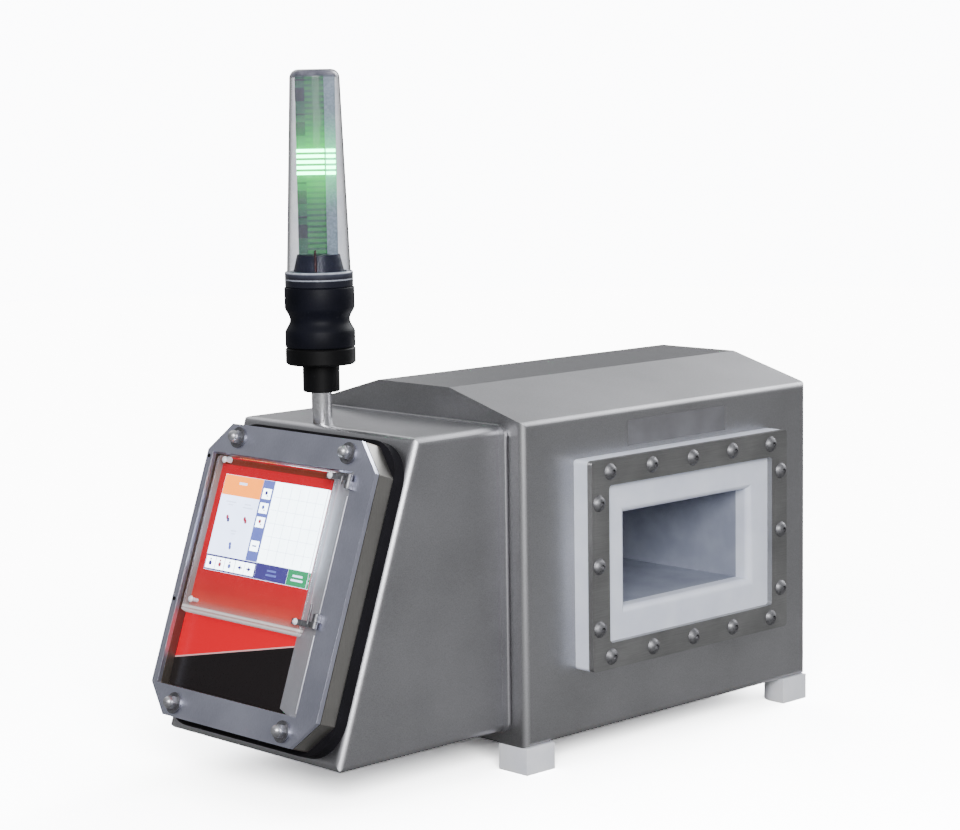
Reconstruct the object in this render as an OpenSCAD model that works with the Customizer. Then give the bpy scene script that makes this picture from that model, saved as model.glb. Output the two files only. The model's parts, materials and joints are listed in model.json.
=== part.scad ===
// Industrial metal detector: a stainless detector head with an aperture right through it,
// a control box with a sloped door on one end of the head, and a signal tower on the box.
// Millimetres, +Z up, the aperture runs along Y and the control box lies towards -X.
// The origin is on the floor, below the middle of the whole machine.

/* [Head] */
// Length of the head, from the control box end to the far end
head_length = 455; // [430:5:560]
// Depth of the head, from its front face to its rear face
head_depth = 324; // [300:4:400]
// Height of the head's side walls
head_eave_height = 336; // [324:2:400]
// Height of the roof's flat strip above the side walls
roof_rise = 30; // [16:1:60]
// Width of the roof's flat strip
roof_flat = 110; // [60:2:180]
// Thickness of the welded stainless sheet
sheet = 2.5; // [1.5:0.5:4]
// Radius of the head's folded corners
case_radius = 8; // [5:1:12]
// Height of the four plastic feet
foot_height = 28; // [20:1:60]
// Side of a foot, which is square but for one corner
foot_side = 41; // [36:1:56]
// Radius of a foot's inner corner
foot_round = 25; // [10:1:28]

/* [Aperture] */
// Clear width of the aperture
aperture_width = 200; // [150:5:215]
// Clear height of the aperture
aperture_height = 100; // [60:5:112]
// Height of the aperture's middle above the head's underside
aperture_middle_height = 181.5; // [176:0.5:190]
// How far the aperture's middle lies beyond the head's middle
aperture_shift = 3.5; // [-6:0.5:10]
// Wall of the plastic liner
liner_wall = 6; // [3:0.5:8]
// Radius of the aperture's rounded mouth
mouth_radius = 8; // [3:1:12]
// Thickness of the white flange plates
flange_plate = 19; // [14:1:30]
// Thickness of the steel clamp frames
clamp_plate = 6.5; // [4:0.5:9]
// Outer width of the clamp frames
clamp_width = 315; // [311:1:330]
// Outer height of the clamp frames
clamp_height = 221; // [217:1:230]
// Width of the window in a clamp frame
clamp_window_width = 263; // [250:1:268]
// Height of the window in a clamp frame
clamp_window_height = 166; // [150:1:170]
// Radius of the clamp frames' outer corners
clamp_radius = 4; // [2:0.5:8]
// Pitch of the bolts along the top and bottom rows
bolt_pitch_x = 64.8; // [60:0.2:66]
// Pitch of the bolts along the two side columns
bolt_pitch_z = 66; // [60:0.5:68]
// Distance between the two upright lines of bolts
bolt_span_x = 294; // [290:1:294]
// Distance between the upper and lower lines of bolts
bolt_span_z = 194.6; // [192:0.2:195]
// Thread diameter of the frame bolts
frame_bolt = 10; // [6:1:10]
// Diameter of a frame bolt's button head
frame_bolt_head = 17.5; // [14:0.5:18]
// Height of a frame bolt's button head
frame_bolt_head_height = 5.5; // [4:0.5:7]

/* [Control box] */
// Width of the control box across the head
box_width = 272; // [268:1:284]
// Height of the control box
box_height = 319; // [315:1:330]
// Reach of the control box from the head at its foot
box_reach_bottom = 231; // [200:1:260]
// Reach of the control box from the head at its top
box_reach_top = 118; // [100:1:150]
// Height of the box's underside above the head's underside
box_lift = 13; // [0:1:16]
// How far the box's middle lies behind the head's middle
box_offset = 4; // [-8:1:8]
// Radius of the box's folded corners
box_radius = 9; // [5:1:12]
// Thickness of the neck plate between box and head
neck_plate = 5; // [3:0.5:8]
// How far the neck plate stands out beyond the sides of the box
neck_lip = 9; // [3:0.5:12]
// Diameter of the cable passage from the box into the head
neck_bore = 60; // [30:2:80]

/* [Door] */
// Border of the box left and right of the eight-sided door
door_side_gap = 5; // [3:0.5:7]
// Border of the box above the door
door_top_gap = 14.5; // [10:0.5:16]
// Length cut from each corner of the door along its sides
door_cut = 30; // [20:1:34]
// Height of the door's lower edge above the box's lower edge
door_lift = 16; // [14:1:18]
// Thickness of the black seal between door and box
seal_depth = 13; // [6:1:20]
// How far the seal reaches beyond the door's upper and lower edges
seal_reach = 6; // [0:0.5:8]
// Depth of the whole door, from the seal to its front
door_depth = 25; // [23:0.5:34]
// Thickness of the door's front plate
door_plate_depth = 5; // [3:0.5:6]
// Border of the front plate left of its window
window_left = 9; // [7:0.5:14]
// Border of the front plate right of its window
window_right = 31; // [26:0.5:36]
// Border of the front plate above its window
window_top = 31.5; // [28:0.5:36]
// Border of the front plate below its window
window_bottom = 30.5; // [28:0.5:36]
// Depth of the printed panel below the door's front
panel_recess = 15; // [14:0.5:17]
// How far the recess's upper wall leans inwards on its way down to the panel
wall_lean = 5; // [2:0.5:6]
// Width of the sloped steel strip beside the panel
strip_width = 43; // [34:1:46]
// Distance of the door's nuts from its left and right edges
nut_side_inset = 45; // [43:1:51]
// Distance of the door's nuts from its upper and lower edges
nut_inset = 14; // [13:0.5:16]

/* [Screen and cover] */
// Height of the touch screen
screen_height = 101.5; // [70:0.5:104]
// Gap between the window's left edge and the screen
screen_left = 13; // [11:0.5:15]
// Gap between the screen and the sloped steel strip
screen_right = 3; // [3:0.5:12]
// Gap between the window's upper edge and the screen
screen_top = 20; // [14:0.5:26]
// Gap between the window's left edge and the clear cover
cover_left = 3; // [2.5:0.5:6]
// Gap between the clear cover and the window's right edge
cover_right = 28; // [26:0.5:32]
// Height of the clear cover
cover_height = 167.5; // [140:0.5:180]
// Wall of the clear cover, which is a shallow tray that opens towards the panel
cover_wall = 2; // [1.5:0.5:3]
// Radius of the clear cover's four corners
cover_corner = 9; // [7:0.5:14]
// Radius of the edge around the clear cover's pane
cover_edge = 5; // [4:0.5:6]
// Diameter of the cover's hinge pins
hinge_pin = 3; // [2:0.5:4]

/* [Signal tower] */
// Diameter of the tower's steel tube
tube_diameter = 21; // [16:0.5:26]
// Length of the steel tube in sight
tube_length = 33.5; // [20:0.5:300]
// Diameter of the collar on the tube
collar_diameter = 38; // [32:1:44]
// Height of the collar
collar_height = 28.5; // [20:0.5:40]
// Diameter of the tower's black housing
housing_diameter = 72; // [68:1:80]
// Height of the housing's lower ring
ring_height = 18; // [12:0.5:24]
// Height of the housing above its lower ring
housing_height = 61.5; // [52:0.5:80]
// Depth of the housing's waist
waist_depth = 5.2; // [2:0.2:7]
// Diameter of the clear collar below the lens
lens_collar_diameter = 70; // [68:0.5:72]
// Height of the clear collar below the lens
lens_collar_height = 16; // [10:0.5:24]
// Diameter of the lens at its foot
lens_foot_diameter = 65.5; // [62:0.5:67]
// Diameter of the lens at its top
lens_top_diameter = 50.5; // [50:0.5:60]
// Height of the lens
lens_height = 205; // [160:1:260]
// Wall of the lens
lens_wall = 2.5; // [1.5:0.5:3]

/* [Hidden] */
$fn = 64;
// Overrun of every cut past the face that it opens
cut = 1;
// Clearance around parts that slide into holes
slip = 0.3;

// Heights above the floor and places along the machine
head_bottom = foot_height;
aperture_x = head_length / 2 + aperture_shift;
aperture_z = head_bottom + aperture_middle_height;
box_bottom = head_bottom + box_lift;
box_top = box_bottom + box_height;
box_y = head_depth / 2 + box_offset;
box_middle_z = box_bottom + box_height / 2;

neck_rise = 2;
neck_round = 2.2;

// The sloped face of the control box
face_run = box_reach_bottom - box_reach_top;
face_tilt = atan2(face_run, box_height);
face_length = norm([face_run, box_height]);

// Depths of the door's layers, counted outwards from the sloped face
door_width = box_width - 2 * door_side_gap;
nut_offset = door_width / 2 - nut_side_inset;
door_height = face_length - door_lift - door_top_gap;
door_front = seal_depth + door_depth;
plate_back = door_front - door_plate_depth;
panel_front = door_front - panel_recess;
panel_film = 1;
panel_back = panel_front - panel_film;
pan_floor = 2;
floor_back = panel_back - pan_floor;
groove = 1;
groove_inset = 1.5;

// The door's window, in the sloped face's own x and y
door_middle_y = door_lift + door_height / 2;
window_x0 = window_left - door_width / 2;
window_x1 = door_width / 2 - window_right;
window_y0 = door_lift + window_bottom;
window_y1 = door_lift + door_height - window_top;
strip_x0 = window_x1 - strip_width;
strip_sheet = 2;
strip_notch_width = 20;
strip_notch_height = 4.5;
screen_x0 = window_x0 + screen_left;
screen_width = strip_x0 - screen_x0 - screen_right;
screen_y0 = window_y1 - screen_top - screen_height;
lcd_depth = 8;
lcd_margin = 2;
board_inset = 6;
board_sheet = 1.6;

// The seal, and the opening of the box behind it
seal_side_reach = 1.5;
seal_radius = 42;
seal_width = door_width + 2 * seal_side_reach;
seal_height = door_height + 2 * seal_reach;
seal_land = 21;
seal_end_land = 30;
opening_radius = 20;
opening_width = seal_width - 2 * seal_land;
opening_height = seal_height - 2 * seal_end_land;

// Studs, washers and cap nuts of the door
stud = 8;
washer_diameter = 22;
washer_height = 2;
nut_flats = 13;
nut_height = 5.5;
nut_dome = 6;
door_bolts = [for (sx = [-1, 1], sy = [-1, 1])
    [sx * nut_offset, door_middle_y + sy * (door_height / 2 - nut_inset)]];

// The cover and its hinge, whose axis runs up the sloped face
hinge_lift = 4;
hinge_depth = door_front + hinge_lift;
hinge_eye = 7;
hinge_fit = 0.08;
hinge_gap = 0.3;
pin_stand = 0.5;
press_fit = 0.05;
knuckle_length = 8;
arm_width = 6;
arm_sheet = 3;
arm_overlap = 11;
cover_gap = 0.7;
cover_x0 = window_x0 + cover_left;
cover_x1 = window_x1 - cover_right;
cover_width = cover_x1 - cover_x0;
cover_sink = 3;
cover_top = door_front - cover_sink;
cover_lift = 1;
cover_back = panel_front + cover_lift;
cover_y1 = wall_y(cover_top) - cover_gap;
cover_y0 = cover_y1 - cover_height;
strip_gap = 3;
arm_inset = 5;
arm_x0 = cover_x1 - arm_overlap;
lower_arm_inset = 14;
lower_arm_y = cover_y0 + lower_arm_inset;
upper_arm_y = cover_y1 - arm_inset;
cover_screw = 4;
screw_head = 7;
screw_head_height = 2.5;
bumper_lift = 1;
bumper_inset = 15;
bumper_x = cover_x0 + bumper_inset;
screw_x = cover_x1 - arm_overlap / 2;
arm_clip = 2.4;
upper_clip = 8;
lower_clip = 20;
lower_knuckle_y = lower_arm_y + arm_width / 2 + hinge_gap;
upper_knuckle_y = upper_arm_y - arm_width / 2 - hinge_gap - knuckle_length;

// Where the whole machine's middle lies
dome_depth = door_front + washer_height + nut_height;
machine_x0 = door_bolts[0].y * sin(face_tilt) - box_reach_bottom - dome_depth * cos(face_tilt) - nut_dome;
origin_x = (head_length + machine_x0) / 2;

// Section of the head, seen along its length
head_section = [
    [0, 0],
    [head_depth, 0],
    [head_depth, head_eave_height],
    [(head_depth + roof_flat) / 2, head_eave_height + roof_rise],
    [(head_depth - roof_flat) / 2, head_eave_height + roof_rise],
    [0, head_eave_height]];

// Screws that hold a frame, counted from the aperture's middle
frame_bolts = concat(
    [for (i = [-2 : 2], s = [-1, 1]) [i * bolt_pitch_x, s * bolt_span_z / 2]],
    [for (j = [-1 : 1], s = [-1, 1]) [s * bolt_span_x / 2, j * bolt_pitch_z]]);
hex_share = 0.34;
socket_depth_share = 0.55;

// Feet
foot_screw = 6;
foot_screw_head = 10;
foot_screw_head_height = 6;
foot_screw_sink = 6;
screw_end = 5;
foot_screw_inset = 12;
foot_insert = 8.5;
foot_insert_depth = 20;
foot_insert_inset = 26;
foot_corners = [[0, 0, 0], [1, 0, 90], [1, 1, 180], [0, 1, 270]];

// Coils
liner_width = aperture_width + 2 * liner_wall;
liner_height = aperture_height + 2 * liner_wall;
former_wall = 10;
former_length = 200;
former_core = 6;
former_rib = 4;
coil_width = 14;
coil_depth = 8;
former_end = 5;
coil_spacing = (former_length - former_rib - 2 * former_end) / 3;

// Bare strip on the head's front wall, above the aperture
label_left = 156;
label_low = 297.5;
label_width = 157;
label_height = 27;
label_film = 0.4;

// Signal tower
tube_setback = 15.5;
tube_shift = 24;
tube_wall = 2;
tube_below = 8;
tube_in_collar = 20;
tower_x = tube_setback - box_reach_top;
tower_y = box_y + tube_shift;
collar_z = box_top + tube_length;
ring_z = collar_z + collar_height;
housing_z = ring_z + ring_height;
lens_collar_z = housing_z + housing_height;
lens_z = lens_collar_z + lens_collar_height;
lens_round = 9;
edge_round = 2;
waist_low_share = 0.25;
waist_middle_share = 0.46;
waist_high_share = 0.66;
housing_bore = 30;
light_base_foot = 56;
light_base_top = 44;
light_base_height = 17;
light_column = 40;
light_headroom = 5;
light_height = lens_height - light_base_height - light_headroom;
light_turn = -40;
light_sheet = 1.6;
light_rows = 32;
light_bar_depth = 1.2;
light_bar_share = 0.55;
rows_below_lit = 14;
lit_rows = 5;
lit_depth = 2.4;
guide_wall = 1.5;
guide_width = 11;
guide_bar_inset = 0.8;
block_width = 9.5;
block_depth = 3;
block_length = 13.6;
block_low = 17;
block_high = 13.6;
block_count = 5;
block_pitch = (light_height - block_low - block_length - block_high) / (block_count - 1);
lit_block = 2;
spacer_length = 1.8;
spacer_rise = 20.5;

// Inside the control box
gland_middle = 105;
gland_height = 60;
gland_bore = 12;
gland_flats = 24;
gland_thread = 20;
gland_cap = 22;
gland_pitch = 48;
glands = 3;
gland_body = 22;
gland_dome = 10;
gland_nut = 5;
mount_standoff = 8;
mount_sheet = 2;
mount_side_gap = 28.5;
mount_end_gap = 26;
mount_width = box_width - 2 * (sheet + mount_side_gap);
mount_height = box_height - 2 * (sheet + mount_end_gap);
mount_hole = 44;
mount_hole_y = 55;
mount_hole_z = -25;
part_margin = 12;
board_size = [1.6, 150, 100];
supply_size = [36, 98, mount_height - board_size.z - 3 * part_margin];
standoff = 6;
standoff_height = 8;
terminal_pitch = 9;
terminal_gap = 7;
terminals = floor((mount_width - 2 * part_margin - supply_size.y - terminal_gap) / terminal_pitch);
terminal_size = [26, 8.4, 34];
balance_size = [1.6, 130, 70];
balance_gap = 31.5;
balance_low = box_middle_z + neck_bore / 2 + balance_gap;

// Unit vector along v, and the angle of a corner of a convex outline
function unit(v) = v / norm(v);
function corner(p, i) =
    let (n = len(p), a = unit(p[(i + n - 1) % n] - p[i]), b = unit(p[(i + 1) % n] - p[i]))
    [a, b, acos(a * b) / 2];

// A convex outline moved inwards by d
function inset(p, d) = [for (i = [0 : len(p) - 1]) let (c = corner(p, i))
    p[i] + unit(c[0] + c[1]) * d / sin(c[2])];

// An eight-sided outline: a rectangle from y0 upwards with its corners cut
function cut_rectangle(w, h, c, y0) = [
    [c - w / 2, y0], [w / 2 - c, y0], [w / 2, y0 + c], [w / 2, y0 + h - c],
    [w / 2 - c, y0 + h], [c - w / 2, y0 + h], [-w / 2, y0 + h - c], [-w / 2, y0 + c]];

// Place of the recess's leaning upper wall at a depth
function wall_y(z) = window_y1 - wall_lean * (door_front - z) / panel_recess;

// Width of a hexagon across its corners
function across_corners(flats) = flats / cos(30);

module in_place() {
    translate([-origin_x, -head_depth / 2, 0]) children();
}

// The sloped face: x to the right as seen from outside, y up the slope, z outwards
module on_face() {
    in_place() translate([-box_reach_bottom, box_y, box_bottom])
        rotate([0, face_tilt, 0]) rotate([90, 0, -90]) children();
}

// The aperture's middle on the head's front or rear wall, z outwards
module on_aperture(rear) {
    in_place() translate([aperture_x, rear ? head_depth : 0, aperture_z])
        rotate([0, 0, rear ? 180 : 0]) rotate([90, 0, 0]) children();
}

// A corner of the head on the floor: x and y run inwards along its two sides
module on_foot(c) {
    in_place() translate([c.x * head_length, c.y * head_depth, 0]) rotate([0, 0, c.z]) children();
}

module on_tower(z) {
    in_place() translate([tower_x, tower_y, z]) children();
}

// A convex outline with true arcs at its corners
module rounded(p, r) {
    polygon([for (i = [0 : len(p) - 1]) let (c = corner(p, i), t = r / tan(c[2])) each
        [p[i] + c[0] * t, p[i] + c[1] * t]]);
    for (q = inset(p, r)) translate(q) circle(r);
}

module rounded_rectangle(w, h, r) {
    rounded([[-w / 2, -h / 2], [w / 2, -h / 2], [w / 2, h / 2], [-w / 2, h / 2]], r);
}

module plate_holes(points, d, z0, z1) {
    for (p = points) translate([p.x, p.y, z0 - cut]) cylinder(h = z1 - z0 + 2 * cut, d = d);
}

// The head's welded case
module head_solid(d) {
    intersection() {
        translate([d, 0, head_bottom]) rotate([90, 0, 90])
            linear_extrude(head_length - 2 * d) rounded(inset(head_section, d), case_radius - d);
        translate([head_length / 2, head_depth / 2, head_bottom - cut])
            linear_extrude(head_eave_height + roof_rise + 2 * cut)
            rounded_rectangle(head_length - 2 * d, head_depth - 2 * d, case_radius - d);
    }
}

module head_case() {
    color([0.62, 0.62, 0.64]) difference() {
        in_place() head_solid(0);
        in_place() head_solid(sheet);
        for (rear = [false, true]) on_aperture(rear) {
            translate([0, 0, -sheet - cut]) linear_extrude(sheet + 2 * cut)
                square([liner_width + 2 * slip, liner_height + 2 * slip], center = true);
            plate_holes(frame_bolts, frame_bolt + 2 * press_fit, -sheet, 0);
        }
        in_place() translate([-cut, box_y, box_middle_z]) rotate([0, 90, 0])
            cylinder(h = sheet + 2 * cut, d = neck_bore);
        for (c = foot_corners) on_foot(c)
            translate([foot_screw_inset, foot_screw_inset, head_bottom - cut])
            cylinder(h = sheet + 2 * cut, d = foot_screw + 2 * press_fit);
    }
}

// Plate that joins the control box to the head's end wall, with its edges rounded over
module neck_flange() {
    w = box_width + 2 * neck_lip;
    h = box_height + neck_rise;
    color([0.66, 0.66, 0.68]) in_place() difference() {
        translate([-neck_plate / 2, box_y, box_middle_z + neck_rise / 2]) intersection() {
            translate([-neck_plate / 2, 0, 0]) rotate([90, 0, 90]) linear_extrude(neck_plate)
                rounded_rectangle(w, h, box_radius + neck_lip / 2);
            translate([0, 0, -h / 2]) linear_extrude(h) rounded_rectangle(neck_plate, w, neck_round);
            translate([0, w / 2, 0]) rotate([90, 0, 0]) linear_extrude(w)
                rounded_rectangle(neck_plate, h, neck_round);
        }
        translate([-neck_plate - cut, box_y, box_middle_z]) rotate([0, 90, 0])
            cylinder(h = neck_plate + 2 * cut, d = neck_bore);
    }
}

// The control box: its side profile, its section and its sloped face, all with rounded corners
module box_solid(d) {
    far = box_reach_bottom;
    r = box_radius - d;
    profile = [[-box_reach_bottom, 0], [far, 0], [far, box_height], [-box_reach_top, box_height]];
    section = [[-box_width / 2, 0], [box_width / 2, 0], [box_width / 2, 2 * far], [-box_width / 2, 2 * far]];
    intersection() {
        in_place() translate([0, box_y + box_width / 2, box_bottom]) rotate([90, 0, 0])
            linear_extrude(box_width) rounded(inset(profile, d), r);
        in_place() translate([-far, box_y, box_middle_z]) rotate([90, 0, 90])
            linear_extrude(far - neck_plate - d)
            rounded_rectangle(box_width - 2 * d, box_height - 2 * d, r);
        on_face() translate([0, -far, 0]) rotate([-90, 0, 0])
            linear_extrude(face_length + 2 * far) rounded(inset(section, d), r);
    }
}

module control_box() {
    color([0.62, 0.62, 0.64]) difference() {
        box_solid(0);
        box_solid(sheet);
        on_face() translate([0, door_middle_y, -sheet - cut]) linear_extrude(sheet + 2 * cut)
            rounded_rectangle(opening_width, opening_height, opening_radius);
        in_place() translate([-neck_plate - sheet - cut, box_y, box_middle_z]) rotate([0, 90, 0])
            cylinder(h = sheet + 2 * cut, d = neck_bore);
        on_tower(box_top - sheet - cut) cylinder(h = sheet + 2 * cut, d = tube_diameter + 2 * press_fit);
        for (i = [0 : glands - 1]) on_gland(i) translate([0, 0, -sheet - cut])
            cylinder(h = sheet + 2 * cut, d = gland_thread + 2 * slip);
    }
}

// A cable gland's place on the box's rear side, z outwards
module on_gland(i) {
    in_place() translate([(i - (glands - 1) / 2) * gland_pitch - gland_middle, box_y + box_width / 2,
        box_bottom + gland_height]) rotate([-90, 0, 0]) children();
}

module cable_glands() {
    color([0.16, 0.16, 0.17]) for (i = [0 : glands - 1]) on_gland(i) difference() {
        union() {
            translate([0, 0, -sheet - gland_nut])
                cylinder(h = gland_nut, d = across_corners(gland_flats), $fn = 6);
            translate([0, 0, -sheet - gland_nut]) cylinder(h = sheet + gland_nut, d = gland_thread);
            cylinder(h = gland_body / 2, d = across_corners(gland_flats), $fn = 6);
            cylinder(h = gland_body, d = gland_cap);
            translate([0, 0, gland_body]) intersection() {
                sphere(d = gland_cap);
                cylinder(h = gland_dome, d = gland_cap);
            }
        }
        translate([0, 0, -sheet - gland_nut - cut])
            cylinder(h = gland_body + gland_dome + gland_nut + sheet + 2 * cut, d = gland_bore);
    }
}

// Feet with one round corner, each with a screw from below and a threaded mounting hole
module foot(i) {
    color([0.86, 0.87, 0.9]) on_foot(foot_corners[i]) difference() {
        linear_extrude(foot_height) intersection() {
            square(foot_side);
            union() {
                square([foot_side, foot_side - foot_round]);
                square([foot_side - foot_round, foot_side]);
                translate([foot_side - foot_round, foot_side - foot_round]) circle(foot_round);
            }
        }
        translate([foot_screw_inset, foot_screw_inset, -cut]) {
            cylinder(h = foot_height + 2 * cut, d = foot_screw + 2 * slip);
            cylinder(h = foot_screw_sink + foot_screw_head_height + cut, d = foot_screw_head + 2 * slip);
        }
        translate([foot_insert_inset, foot_insert_inset, -cut])
            cylinder(h = foot_insert_depth + cut, d = foot_insert);
    }
}

module foot_screws() {
    color([0.75, 0.75, 0.77]) for (c = foot_corners) on_foot(c)
        translate([foot_screw_inset, foot_screw_inset, foot_screw_sink]) difference() {
            union() {
                cylinder(h = foot_screw_head_height, d = foot_screw_head);
                cylinder(h = foot_height - foot_screw_sink + sheet + screw_end, d = foot_screw);
            }
            translate([0, 0, -cut])
                cylinder(h = foot_screw_head_height * socket_depth_share + cut, d = foot_screw, $fn = 6);
        }
}

// Aperture: liner, coils, flange plates and clamp frames
module aperture_liner() {
    color([0.88, 0.89, 0.92]) in_place() translate([aperture_x, head_depth, aperture_z])
        rotate([90, 0, 0]) linear_extrude(head_depth) difference() {
            square([liner_width, liner_height], center = true);
            square([aperture_width, aperture_height], center = true);
        }
}

module around_aperture(offset, length) {
    in_place() translate([aperture_x, head_depth / 2 + offset + length / 2, aperture_z])
        rotate([90, 0, 0]) children();
}

module frame_section(d0, d1) {
    difference() {
        square([liner_width + 2 * d1, liner_height + 2 * d1], center = true);
        square([liner_width + 2 * d0, liner_height + 2 * d0], center = true);
    }
}

module coil_former() {
    color([0.72, 0.6, 0.4]) union() {
        around_aperture(0, former_length) linear_extrude(former_length) frame_section(slip, former_core);
        for (i = [-1.5 : 1.5]) around_aperture(i * coil_spacing, former_rib)
            linear_extrude(former_rib) frame_section(slip, former_wall);
    }
}

module coil(i) {
    core = former_core + press_fit;
    color([0.72, 0.42, 0.2]) around_aperture(i * coil_spacing, coil_width) linear_extrude(coil_width)
        frame_section(core, core + coil_depth);
}

// A block whose removal leaves a rounded mouth around the aperture, open towards +z
module mouth() {
    r = mouth_radius;
    w = aperture_width / 2 + r;
    h = aperture_height / 2 + r;
    difference() {
        translate([-w, -h, -r]) cube([2 * w, 2 * h, r + cut]);
        for (s = [-1, 1]) {
            translate([s * w, -h - cut, -r]) rotate([-90, 0, 0]) cylinder(h = 2 * h + 2 * cut, r = r);
            translate([-w - cut, s * h, -r]) rotate([0, 90, 0]) cylinder(h = 2 * w + 2 * cut, r = r);
        }
    }
}

module flange_plate_piece(rear) {
    color([0.88, 0.89, 0.92]) on_aperture(rear) difference() {
        linear_extrude(flange_plate) rounded_rectangle(clamp_width, clamp_height, clamp_radius);
        translate([0, 0, -cut]) linear_extrude(flange_plate + 2 * cut)
            square([aperture_width, aperture_height], center = true);
        translate([0, 0, flange_plate]) mouth();
        plate_holes(frame_bolts, frame_bolt + 2 * slip, 0, flange_plate);
    }
}

module clamp_frame(rear) {
    color([0.6, 0.6, 0.62]) on_aperture(rear) translate([0, 0, flange_plate]) difference() {
        linear_extrude(clamp_plate) rounded_rectangle(clamp_width, clamp_height, clamp_radius);
        translate([0, 0, -cut]) linear_extrude(clamp_plate + 2 * cut)
            rounded_rectangle(clamp_window_width, clamp_window_height, clamp_radius);
        plate_holes(frame_bolts, frame_bolt + 2 * slip, 0, clamp_plate);
    }
}

// A button head is a slice of a ball whose rim has the head's diameter
module button_head(d, h) {
    ball = (d * d / 4 + h * h) / (2 * h);
    difference() {
        intersection() {
            translate([0, 0, h - ball]) sphere(ball);
            cylinder(h = h, d = d);
        }
        translate([0, 0, h * (1 - socket_depth_share)]) cylinder(h = h, d = d * hex_share, $fn = 6);
    }
}

module bolts(rear) {
    color([0.72, 0.72, 0.75]) on_aperture(rear) for (p = frame_bolts) translate([p.x, p.y, 0]) {
        translate([0, 0, flange_plate + clamp_plate]) button_head(frame_bolt_head, frame_bolt_head_height);
        translate([0, 0, -sheet - screw_end])
            cylinder(h = screw_end + sheet + flange_plate + clamp_plate, d = frame_bolt);
    }
}

module label_strip() {
    color([0.5, 0.5, 0.52]) in_place() translate([label_left, -label_film, head_bottom + label_low])
        cube([label_width, label_film, label_height]);
}

// Electronics inside the head, on the end wall next to the neck
module balance_board() {
    color([0.1, 0.4, 0.2]) in_place()
        translate([sheet + standoff_height, box_y - balance_size.y / 2, balance_low]) cube(balance_size);
}

module balance_board_standoffs() {
    color([0.8, 0.7, 0.4]) in_place() for (sy = [-1, 1], z = [standoff, balance_size.z - standoff])
        translate([sheet, box_y + sy * (balance_size.y / 2 - standoff), balance_low + z])
        rotate([0, 90, 0]) cylinder(h = standoff_height, d = standoff);
}

// Door
module door_seal() {
    color([0.1, 0.1, 0.11]) on_face() translate([0, door_middle_y, 0]) difference() {
        linear_extrude(seal_depth) difference() {
            rounded_rectangle(seal_width, seal_height, seal_radius);
            rounded_rectangle(opening_width, opening_height, opening_radius);
        }
        translate([0, -door_middle_y, 0]) plate_holes(door_bolts, stud + 2 * slip, 0, seal_depth);
    }
}

module door_outline(d) {
    polygon(inset(cut_rectangle(door_width, door_height, door_cut, door_lift), d));
}

// The recess around the panel, whose upper wall leans
module recess() {
    translate([window_x0, 0, 0]) rotate([90, 0, 90]) linear_extrude(window_x1 - window_x0)
        polygon([[window_y0, panel_back], [window_y1 - wall_lean, panel_back],
            [window_y1 - wall_lean, panel_front], [wall_y(door_front + cut), door_front + cut],
            [window_y0, door_front + cut]]);
}

module screen(d) {
    translate([screen_x0 - d, screen_y0 - d]) square([screen_width + 2 * d, screen_height + 2 * d]);
}

module door_pan() {
    color([0.66, 0.66, 0.68]) on_face() difference() {
        union() {
            translate([0, 0, seal_depth]) linear_extrude(plate_back - groove - seal_depth) door_outline(0);
            translate([0, 0, plate_back - groove]) linear_extrude(groove) door_outline(groove_inset);
        }
        recess();
        translate([0, door_middle_y, seal_depth - cut]) linear_extrude(floor_back - seal_depth + cut)
            rounded_rectangle(opening_width, opening_height, opening_radius);
        translate([0, 0, floor_back - cut]) linear_extrude(pan_floor + 2 * cut) screen(slip);
        plate_holes(door_bolts, stud + 2 * slip, seal_depth, plate_back);
    }
}

module door_plate() {
    color([0.66, 0.66, 0.68]) on_face() difference() {
        translate([0, 0, plate_back]) linear_extrude(door_plate_depth) door_outline(0);
        recess();
        plate_holes(door_bolts, stud + 2 * slip, plate_back, door_front);
    }
}

module door_studs() {
    color([0.75, 0.75, 0.77]) on_face() for (p = door_bolts) translate([p.x, p.y, 0])
        cylinder(h = dome_depth - press_fit, d = stud);
}

module door_washers() {
    color([0.75, 0.75, 0.77]) on_face() for (p = door_bolts) translate([p.x, p.y, door_front])
        difference() {
            cylinder(h = washer_height, d = washer_diameter);
            translate([0, 0, -cut]) cylinder(h = washer_height + 2 * cut, d = stud + 2 * press_fit);
        }
}

module cap_nuts() {
    color([0.78, 0.78, 0.8]) on_face() for (p = door_bolts)
        translate([p.x, p.y, door_front + washer_height]) difference() {
            union() {
                cylinder(h = nut_height, d = across_corners(nut_flats), $fn = 6);
                translate([0, 0, nut_height]) intersection() {
                    sphere(nut_dome);
                    cylinder(h = nut_dome, r = nut_dome);
                }
            }
            translate([0, 0, -cut]) cylinder(h = nut_height + cut, d = stud + 2 * press_fit);
        }
}

// Printed panel, touch screen and the strip beside them
module printed_panel() {
    color([0.86, 0.1, 0.2]) on_face() translate([0, 0, panel_back]) linear_extrude(panel_film)
        difference() {
            translate([window_x0 + slip, window_y0 + slip])
                square([window_x1 - window_x0 - 2 * slip, window_y1 - wall_lean - window_y0 - 2 * slip]);
            screen(0);
        }
}

module touch_glass() {
    color([0.95, 0.96, 1]) on_face() translate([0, 0, floor_back]) linear_extrude(pan_floor + panel_film)
        screen(-press_fit);
}

module lcd_module() {
    color([0.2, 0.2, 0.22]) on_face() translate([0, 0, floor_back - lcd_depth]) linear_extrude(lcd_depth)
        screen(lcd_margin);
}

module display_board() {
    color([0.1, 0.4, 0.2]) on_face() translate([0, 0, floor_back - lcd_depth - board_sheet])
        linear_extrude(board_sheet) screen(-board_inset);
}

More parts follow.
